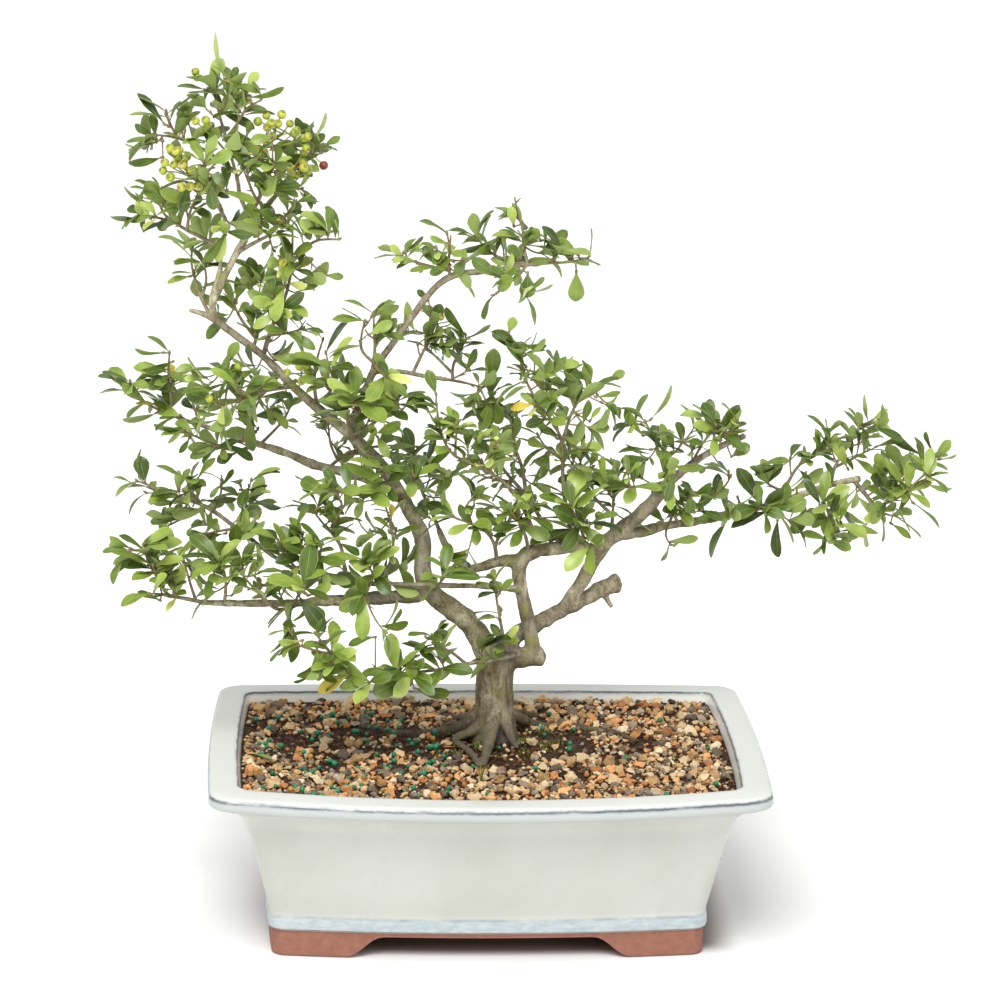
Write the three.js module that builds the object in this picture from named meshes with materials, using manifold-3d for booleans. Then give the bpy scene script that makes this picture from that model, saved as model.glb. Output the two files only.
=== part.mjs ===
// Firethorn bonsai growing in a glazed ceramic pot.
// Millimetres, +Z up, +X to the viewer's right, +Y away from the viewer.
import * as THREE from "three";
import { mergeVertices } from "three/addons/utils/BufferGeometryUtils.js";
import Module from "manifold-3d";

const wasm = await Module();
wasm.setup();

// Pot sizes
const RIM_HALF_LENGTH = 155.5;
const BASE_HALF_LENGTH = 122;
const RIM_HALF_WIDTH = 122;
const BASE_HALF_WIDTH = 84;
const POT_HEIGHT = 102;
const OUTER_CORNER = 14;
const BASE_CORNER = 9;
const INNER_CORNER = 5;
const LONG_SIDE_BOW = 7;
const RIM_EXTRA_BOW = 1;
const SHORT_SIDE_BOW = 2.5;
const LIP_WIDTH = 16.5;
const FLOOR_TOP = 20;
const FOOT_HEIGHT = 15;
const UNDERSIDE_HEIGHT = 13;
const FOOT_WALL = 11;
const RIM_SAG = 2.6;
const RIM_SAG_SKEW = 1;
const SAG_FROM = 50;
const SAG_TO = 94;
const LONG_ARCH_HALF = 82;
const SHORT_ARCH_HALF = 40;
const ARCH_HEIGHT = 12.5;
const ARCH_END = 25;
const CUT_REACH = 500;
const DRAIN_RADIUS = 10;
const DRAIN_X = 55;
const DRAIN_SIDES = 14;

// Soil, screens and the gap kept between pieces that touch
const SOIL_TOP = 96;
const SOIL_MOUND = 2.5;
const MOUND_REACH = 45;
const PEBBLE_RELIEF = 2.2;
const PEBBLE_SPACING = 13.5;
const PEBBLE_SHIFT = 0.5;
const SCREEN_SIDE = 32;
const SCREEN_THICKNESS = 1.2;
const SCREEN_BARS = 3;
const SCREEN_OPENING_SHARE = 0.8;
const GAP = 0.3;
const WOOD_GAP = 0.36;

// Tree
const TRUNK_X = 6;
const TRUNK_PLANE_Y = 15;
const VIEWER = new THREE.Vector3(-89.7, -2167, 749.5);
const LEAF_SHARE = 0.18;
const LEAF_THICKNESS = 1;
const LEAF_WIDTH = 0.46;
const LEAF_TRIES = 5;
const NEXT_TRY_TURN = 1.1;
const REACH_FOR_LIGHT = 0.55;
const SPUR_ALONG = 0.35;
const SPUR_SPREAD = 0.8;
const DEPTHWAYS = new THREE.Vector3(0.2, 0.97, 0.1);
const LEAVES_PER_ROSETTE = 4;
const ROSETTE_SPAN = 0.7;
const TIP_SHARE = 0.985;
const BERRY_RADIUS = 2.3;
const BERRY_DEPTH_SPREAD = 5;
const STALK_RADIUS = 0.55;
const BERRY_STALK_RADII = [0.45, 0.35];
const BUNCH_SPAN = 0.45;
const TWIG_TIP_RADIUS = 0.5;
const TWIG_BASE_RADIUS = { least: 0.8, most: 1.5, start: 0.6, perMm: 1 / 70 };
const TWIG_SIDES = 3;
const LEAF_BALL = 0.75;
const BALL_STEP = 1.2;
const LIMB_BALL_STEP = 1.5;
const LEAF_STEP = 1.1;
const CROWD_GAP = 0.35;
const CELL = 6;
const GOLDEN_ANGLE = 2.39996;
const GOLDEN_SHARE = 0.618034;
const SAME_POINT = 1e-4;

// A tree point is read where it is seen in front of the trunk's plane, as x and z, and then pushed back
// along the viewer's line of sight to its own depth behind (+) or in front of (-) that plane.
function seenAt(x, z, depth) {
  const onPlane = new THREE.Vector3(x, TRUNK_PLANE_Y, z);
  const reach = (TRUNK_PLANE_Y + depth - VIEWER.y) / (TRUNK_PLANE_Y - VIEWER.y);
  return onPlane.sub(VIEWER).multiplyScalar(reach).add(VIEWER);
}

function seededRandom(seed) {
  let state = seed >>> 0;
  return () => {
    state = (state + 0x6d2b79f5) >>> 0;
    let mixed = Math.imul(state ^ (state >>> 15), 1 | state);
    mixed = (mixed + Math.imul(mixed ^ (mixed >>> 7), 61 | mixed)) ^ mixed;
    return ((mixed ^ (mixed >>> 14)) >>> 0) / 4294967296;
  };
}

function toSolid(geometry) {
  const bare = geometry.clone();
  bare.deleteAttribute("normal");
  bare.deleteAttribute("uv");
  const merged = mergeVertices(bare, SAME_POINT);
  return new wasm.Manifold(new wasm.Mesh({
    numProp: 3,
    vertProperties: new Float32Array(merged.attributes.position.array),
    triVerts: new Uint32Array(merged.index.array),
  }));
}

function toGeometry(solid) {
  const mesh = solid.getMesh();
  const geometry = new THREE.BufferGeometry();
  geometry.setAttribute("position", new THREE.BufferAttribute(new Float32Array(mesh.vertProperties), 3));
  geometry.setIndex(new THREE.BufferAttribute(new Uint32Array(mesh.triVerts), 1));
  return geometry;
}

function largestBody(solid) {
  return solid.decompose().reduce((best, body) => (body.volume() > best.volume() ? body : best));
}

// Closed skin over a stack of rings that all have the same number of points.
function loftRings(rings) {
  const count = rings[0].length;
  const points = rings.flat();
  const positions = points.flatMap((point) => [point.x, point.y, point.z]);
  const index = [];
  for (let ring = 0; ring < rings.length - 1; ring += 1) {
    for (let side = 0; side < count; side += 1) {
      const a = ring * count + side;
      const b = ring * count + ((side + 1) % count);
      index.push(a, b, b + count, a, b + count, a + count);
    }
  }
  const last = (rings.length - 1) * count;
  for (let side = 1; side < count - 1; side += 1) {
    index.push(0, side + 1, side);
    index.push(last, last + side, last + side + 1);
  }
  const geometry = new THREE.BufferGeometry();
  geometry.setAttribute("position", new THREE.Float32BufferAttribute(positions, 3));
  geometry.setIndex(index);
  return geometry;
}

// Pot plan: a rectangle with bowed sides and rounded corners, drawn one quarter at a time.
// Its long sides hang down a little in the middle, more at the front than at the back.
function potRing(halfLength, z, cornerRadius, sag = 0, skew = 0) {
  const rise = (halfLength - BASE_HALF_LENGTH) / (RIM_HALF_LENGTH - BASE_HALF_LENGTH);
  const widthLoss = BASE_HALF_LENGTH - BASE_HALF_WIDTH
    + rise * (RIM_HALF_LENGTH - RIM_HALF_WIDTH - BASE_HALF_LENGTH + BASE_HALF_WIDTH);
  const halfWidth = halfLength - widthLoss;
  const corner = cornerRadius ?? BASE_CORNER + rise * (OUTER_CORNER - BASE_CORNER);
  const longBow = LONG_SIDE_BOW + RIM_EXTRA_BOW * rise;
  const cornerX = halfLength - SHORT_SIDE_BOW - corner;
  const cornerY = halfWidth - longBow - corner;
  const quarter = [];
  for (const share of [0, 0.5, 1]) {
    quarter.push([cornerX * share, halfWidth - longBow * share ** 2]);
  }
  for (const angle of [60, 30]) {
    const turn = THREE.MathUtils.degToRad(angle);
    quarter.push([cornerX + corner * Math.cos(turn), cornerY + corner * Math.sin(turn)]);
  }
  for (const share of [1, 0.5, 0]) {
    quarter.push([halfLength - SHORT_SIDE_BOW * share ** 2, cornerY * share]);
  }
  const ring = [];
  for (const [signX, signY] of [[1, 1], [1, -1], [-1, -1], [-1, 1]]) {
    const part = signX === signY ? [...quarter] : [...quarter].reverse();
    part.pop();
    ring.push(...part.map(([x, y]) => [signX * x, signY * y]));
  }
  const drop = (x, y) => (sag - (skew * y) / halfWidth) * (1 - (x / halfLength) ** 2);
  return ring.map(([x, y]) => new THREE.Vector3(x, y, z - drop(x, y))).reverse();
}

// Half length of the pot against height, outside and inside.
const OUTER_PROFILE = [
  [BASE_HALF_LENGTH, 0],
  [BASE_HALF_LENGTH, FOOT_HEIGHT],
  [BASE_HALF_LENGTH + 1.6, FOOT_HEIGHT + 2],
  [BASE_HALF_LENGTH + 1.6, FOOT_HEIGHT + 7],
  [BASE_HALF_LENGTH + 0.8, FOOT_HEIGHT + 9],
  [128, 47],
  [133, 69],
  [138, 83],
  [149.5, 92.5],
  [RIM_HALF_LENGTH, POT_HEIGHT - 7],
  [RIM_HALF_LENGTH, POT_HEIGHT - 2.5],
  [RIM_HALF_LENGTH - 2.5, POT_HEIGHT],
];
const INNER_PROFILE = [
  [108, FLOOR_TOP],
  [115, 25],
  [125, 64],
  [136.5, 92],
  [138, 97.5],
  [RIM_HALF_LENGTH - LIP_WIDTH, POT_HEIGHT],
  [RIM_HALF_LENGTH - LIP_WIDTH, POT_HEIGHT + 6],
];

function potLoft(profile, corner) {
  return toSolid(loftRings(profile.map(([half, z]) => {
    const share = THREE.MathUtils.smoothstep(z, SAG_FROM, SAG_TO);
    return potRing(half, z, corner, RIM_SAG * share, RIM_SAG_SKEW * share);
  })));
}

// Arched gap under one side of the foot, with a curved shoulder at each end.
function footArch(half) {
  const flat = half - ARCH_END;
  const lowBend = half - ARCH_END * 0.5;
  const highBend = half - ARCH_END * 0.6;
  const shape = new THREE.Shape();
  shape.moveTo(-half, -1);
  shape.lineTo(half, -1);
  shape.lineTo(half, 0);
  shape.bezierCurveTo(lowBend, 0, highBend, ARCH_HEIGHT, flat, ARCH_HEIGHT);
  shape.lineTo(-flat, ARCH_HEIGHT);
  shape.bezierCurveTo(-highBend, ARCH_HEIGHT, -lowBend, 0, -half, 0);
  const geometry = new THREE.ExtrudeGeometry(shape, {
    depth: CUT_REACH,
    bevelEnabled: false,
    curveSegments: 4,
  });
  geometry.translate(0, 0, -CUT_REACH / 2);
  geometry.rotateX(Math.PI / 2);
  return geometry;
}

function buildPot() {
  let pot = potLoft(OUTER_PROFILE).subtract(potLoft(INNER_PROFILE, INNER_CORNER));
  const hollowHalf = BASE_HALF_LENGTH - FOOT_WALL;
  pot = pot.subtract(potLoft([[hollowHalf, -1], [hollowHalf - 1, UNDERSIDE_HEIGHT]]));
  pot = pot.subtract(toSolid(footArch(LONG_ARCH_HALF)));
  const sideArch = footArch(SHORT_ARCH_HALF);
  sideArch.rotateZ(Math.PI / 2);
  pot = pot.subtract(toSolid(sideArch));
  for (const side of [-1, 1]) {
    const drain = new THREE.CylinderGeometry(DRAIN_RADIUS, DRAIN_RADIUS, 4 * FLOOR_TOP, DRAIN_SIDES);
    drain.rotateX(Math.PI / 2);
    drain.translate(side * DRAIN_X, 0, FLOOR_TOP);
    pot = pot.subtract(toSolid(drain));
  }
  return pot;
}

// Square plastic mesh that lies over a drain hole.
function buildScreen(side) {
  let screen = toSolid(new THREE.BoxGeometry(SCREEN_SIDE, SCREEN_SIDE, SCREEN_THICKNESS));
  const pitch = SCREEN_SIDE / SCREEN_BARS;
  const hole = pitch * SCREEN_OPENING_SHARE;
  for (const column of [-0.5, 0.5]) {
    for (const row of [-0.5, 0.5]) {
      const opening = new THREE.BoxGeometry(hole, hole, 2 * SCREEN_THICKNESS);
      opening.translate(column * pitch, row * pitch, 0);
      screen = screen.subtract(toSolid(opening));
    }
  }
  return screen.translate([side * DRAIN_X, 0, FLOOR_TOP + GAP + SCREEN_THICKNESS / 2]);
}

function soilHeight(x, y) {
  const away = Math.hypot(x - TRUNK_X, y - TRUNK_PLANE_Y);
  return SOIL_TOP + SOIL_MOUND * Math.exp(-((away / MOUND_REACH) ** 2));
}

// Block of soil whose top is raised into pebbles, trimmed to the inside of the pot.
function buildSoil(wood) {
  const length = 2 * RIM_HALF_LENGTH;
  const width = 2 * RIM_HALF_WIDTH;
  const columns = Math.round(length / PEBBLE_SPACING);
  const rows = Math.round(width / PEBBLE_SPACING);
  const block = new THREE.BoxGeometry(length, width, SOIL_TOP, columns, rows, 1);
  block.translate(0, 0, SOIL_TOP / 2);
  block.deleteAttribute("normal");
  block.deleteAttribute("uv");
  const soil = mergeVertices(block, SAME_POINT);
  const position = soil.attributes.position;
  const random = seededRandom(7);
  for (let i = 0; i < position.count; i += 1) {
    if (position.getZ(i) < SOIL_TOP / 2) continue;
    const x = position.getX(i) + (random() - 0.5) * PEBBLE_SPACING * PEBBLE_SHIFT;
    const y = position.getY(i) + (random() - 0.5) * PEBBLE_SPACING * PEBBLE_SHIFT;
    const onEnd = Math.abs(position.getX(i)) > length / 2 - 1;
    const onSide = Math.abs(position.getY(i)) > width / 2 - 1;
    if (!onEnd && !onSide) position.setXY(i, x, y);
    position.setZ(i, soilHeight(x, y) + (random() - 0.5) * PEBBLE_RELIEF);
  }
  const inside = INNER_PROFILE.slice(0, -2).map(([half, z]) => [half - WOOD_GAP, z + GAP]);
  inside.push([RIM_HALF_LENGTH - LIP_WIDTH - WOOD_GAP, POT_HEIGHT]);
  let body = toSolid(soil).intersect(potLoft(inside, INNER_CORNER - GAP));
  for (const side of [-1, 1]) {
    const roomHeight = 2 * (SCREEN_THICKNESS + 2 * GAP);
    const room = new THREE.BoxGeometry(SCREEN_SIDE + 1, SCREEN_SIDE + 1, roomHeight);
    room.translate(side * DRAIN_X, 0, FLOOR_TOP);
    body = body.subtract(toSolid(room));
  }
  return largestBody(body.subtract(wood));
}

// Tapering stem through a list of points, each with its own radius; the ends are closed.
function stem(points, radii, sides, grow = 0) {
  const rings = [];
  const steady = new THREE.Vector3(0.31, -0.83, 0.46).normalize();
  points.forEach((point, i) => {
    const before = points[Math.max(i - 1, 0)];
    const after = points[Math.min(i + 1, points.length - 1)];
    const along = after.clone().sub(before).normalize();
    steady.addScaledVector(along, -steady.dot(along)).normalize();
    const across = along.clone().cross(steady);
    const radius = radii[i] + grow;
    const centre = point.clone();
    if (i === 0) centre.addScaledVector(along, -grow);
    if (i === points.length - 1) centre.addScaledVector(along, grow);
    const ring = [];
    for (let side = 0; side < sides; side += 1) {
      const turn = (2 * Math.PI * side) / sides;
      ring.push(centre.clone()
        .addScaledVector(steady, radius * Math.cos(turn))
        .addScaledVector(across, radius * Math.sin(turn)));
    }
    rings.push(ring);
  });
  return toSolid(loftRings(rings));
}

// Trunk, limbs and roots: x, z, depth and radius at each point, from the base outwards.
const LIMBS = {
  trunk: [[6, 84, 0, 9], [6, 96, 0, 14.5], [6, 103, 0, 13], [6, 113, 0, 10.6], [5.5, 124, 0, 10.6],
    [5.5, 134, 0, 10.6], [7, 142, 0, 11], [8, 149, 0, 9]],
  leftLimb: [[5, 138, 0, 9], [1, 150, 0, 7.6], [-5, 160, -1, 6.5], [-12, 168, -2, 6],
    [-20, 174, -4, 5.8],
    [-29, 181, -6, 5.5], [-35, 188, -7, 5.2], [-36, 198, -6, 4.8], [-35, 208, -4, 4.6],
      [-37, 219, -1, 4.4],
    [-46, 236, 4, 4], [-57, 254, 8, 3.8], [-68, 266, 11, 3.5], [-79, 276, 14, 3.4], [-94, 288, 16, 2.8],
    [-110, 302, 17, 2.5], [-124, 318, 18, 2.3], [-142, 331, 18, 2.2], [-152, 339, 18, 2.3],
    [-158, 342, 18, 1.9], [-166, 344, 18, 1.2]],
  lowLimb: [[-33, 184, -6, 4.6], [-41, 181, -10, 4.1], [-55, 180, -14, 3.8], [-67, 179.5, -18, 3.6],
    [-80, 178.5, -22, 3.4], [-91, 178, -26, 3.2], [-107, 176.5, -30, 2.4], [-126, 176.5, -34, 2.1],
    [-146, 176.5, -38, 1.9], [-161, 177, -40, 1.7]],
  thinLimb: [[19, 185, 0, 2.6], [9, 186, -5, 1.9], [-5, 187, -10, 1.7], [-20, 187, -14, 1.7],
    [-37, 187.5, -17, 1.6], [-57, 188, -19, 1.6], [-77, 188, -17, 1.6], [-95, 189.5, -11, 1.5],
    [-108, 196, -4, 1.5], [-120, 204, 0, 1.5], [-134, 215, 4, 1.5], [-151, 228.5, 8, 1.4]],
  backLimb: [[-47, 238, 5, 3.1], [-60, 246, 17, 2.9], [-74, 251, 27, 2.8], [-87, 254, 35, 2.8],
    [-99, 257, 42, 2.7], [-111, 263, 48, 2.5], [-124, 267, 52, 2.2], [-136, 271, 56, 2.1],
    [-147, 274.5, 59, 1.9], [-158, 278.5, 62, 1.6]],
  crownStem: [[-151, 338, 18, 2.3], [-154, 347, 18, 2.1], [-152, 356, 18, 1.9], [-149, 366, 18, 1.5],
    [-148, 377, 17, 1.2], [-146, 388, 16, 1.1], [-147, 399, 15, 1], [-151, 408, 14, 0.9]],
  crownLeader: [[-154, 346, 18, 2], [-150, 354, 19, 2], [-146, 364, 20, 2], [-141, 374, 21, 2.2],
    [-135, 384, 22, 2.3], [-132, 392, 22, 1.9], [-134, 399, 22, 1.5], [-138, 407, 21, 1.3],
    [-139, 416, 20, 1.3], [-141, 424, 19, 1.2], [-144, 434, 18, 1.1]],
  topLimb: [[-78, 274, 13, 3.2], [-74, 285, 6, 2.7], [-69, 297, 0, 2.4], [-64, 311, -6, 2.2],
    [-54, 325, -10, 2.1], [-45, 338, -13, 2], [-32, 356, -17, 2], [-23, 363.5, -18, 2.1],
    [-13, 366, -18, 2], [-3, 366.5, -18, 1.8], [9, 368.5, -17, 1.4], [20, 370.5, -16, 1.2]],
  crossLimb: [[-63, 310, -6, 1.8], [-48, 310, -2, 1.5], [-37, 307.5, 3, 1.5], [-23, 305.5, 8, 1.4]],
  burl: [[10, 145, 0, 8], [20, 145, 2, 6.2], [28, 146, 3, 6.1], [33, 146, 3, 4.8]],
  midLimb: [[27, 146, 3, 5.2], [27, 154, 3, 4.4], [25, 163, 3, 4.1], [22.5, 175, 3, 3.9],
    [19.5, 186, 3, 4.1],
    [18, 196, 3, 4.2], [19.5, 203, 4, 4.4], [24, 206.5, 5, 4.5], [32, 208, 7, 4.2], [41, 209, 9, 3.9],
    [50, 210, 11, 3.6], [61, 208, 12, 3.2]],
  curvedLimb: [[18, 201.5, 4, 4], [10, 202, 5, 3.4], [0, 199, 6, 3], [-7, 196.5, 7, 2.6],
    [-13, 198, 8, 2.3],
    [-19, 204, 10, 2.2], [-24, 212, 12, 2.1], [-27, 220, 14, 1.9]],
  rightLimb: [[9, 146, 4, 7], [16, 158, 9, 5], [24, 162, 12, 4.7], [33, 167, 13, 4.6],
    [41.5, 172, 13, 4.6],
    [47, 177, 13, 4.6], [52, 186, 12, 4], [57, 195, 12, 3.9], [62, 205, 12, 4.2], [68, 213, 11, 4.6],
    [77, 220.5, 9, 4.6], [87, 229, 7, 4.3], [96, 239, 5, 3.8], [103, 248, 3, 3], [111, 255, 1, 2.4]],
  stub: [[46, 175, 13, 4.5], [55, 179, 16, 4.5], [62, 183.5, 20, 4.6], [69, 187.5, 23, 5.2],
    [73, 188.5, 25, 4.2]],
  stubNub: [[67, 182, 22, 2], [71, 175.5, 22, 1.4]],
  farLimb: [[75, 217, 10, 3.8], [86, 218, 18, 3.3], [101, 222.5, 26, 2.7], [121, 225, 34, 2.5],
    [140, 230, 40, 2.3],
    [162, 234.5, 46, 2.1], [179, 241, 50, 2], [190, 245, 52, 2], [200, 248, 54, 1.9],
      [209, 249.5, 55, 2]],
  leftRoot: [[2, 112, 0, 5.5], [-8, 107, 2, 4.1], [-16, 103, 8, 3.5], [-25, 100.5, 13, 3],
    [-35, 100, 14, 2.7],
    [-47, 99.5, 12, 2.6], [-62, 103, 27, 2.3], [-77, 106, 40, 1.6]],
  loopRoot: [[0, 105, -6, 4.2], [-10, 100, -8, 2.8], [-18, 97, -6, 2.2], [-13, 93, -18, 2.1],
    [-6, 88, -38, 2],
    [-3, 81, -68, 1.3]],
  frontRoot: [[6, 112, -7, 5], [4, 103, -16, 4.2], [3, 96, -26, 3.6], [2, 90, -38, 3],
    [0, 82, -66, 1.8]],
  rightFrontRoot: [[11, 110, -7, 4], [14, 102, -14, 3], [16, 96, -18, 2.2], [19, 92, -28, 1.5]],
  rightRoot: [[12, 113, 4, 5], [20, 109, 14, 3.4], [28, 105.5, 26, 2.8], [37, 104, 30, 2.4],
    [47, 105, 34, 2.4],
    [58, 103, 26, 2.4], [69, 101.5, 20, 2.1], [79, 99.5, 12, 1.9], [86, 96, -2, 1.3]],
  backLeftRoot: [[3, 111, 6, 4.6], [-7, 110, 24, 3.4], [-16, 109, 44, 2.6], [-25, 111, 62, 1.6]],
  backRightRoot: [[9, 111, 8, 4.6], [19, 112, 34, 3], [29, 110, 54, 2.2], [38, 112, 66, 1.5]],
};

// Thick limbs are drawn with more sides than thin ones.
function sidesFor(radius) {
  if (radius > 8) return 8;
  if (radius > 4) return 6;
  return radius > 2.5 ? 5 : 4;
}

// The wood may be built a little fatter, to cut clear room for what touches it.
function buildWood(grow) {
  const stems = Object.values(LIMBS).map((rows) => stem(
    rows.map(([x, z, depth]) => seenAt(x, z, depth)),
    rows.map((row) => row[3]),
    sidesFor(rows[0][3]),
    grow,
  ));
  return largestBody(wasm.Manifold.union(stems));
}

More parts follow.
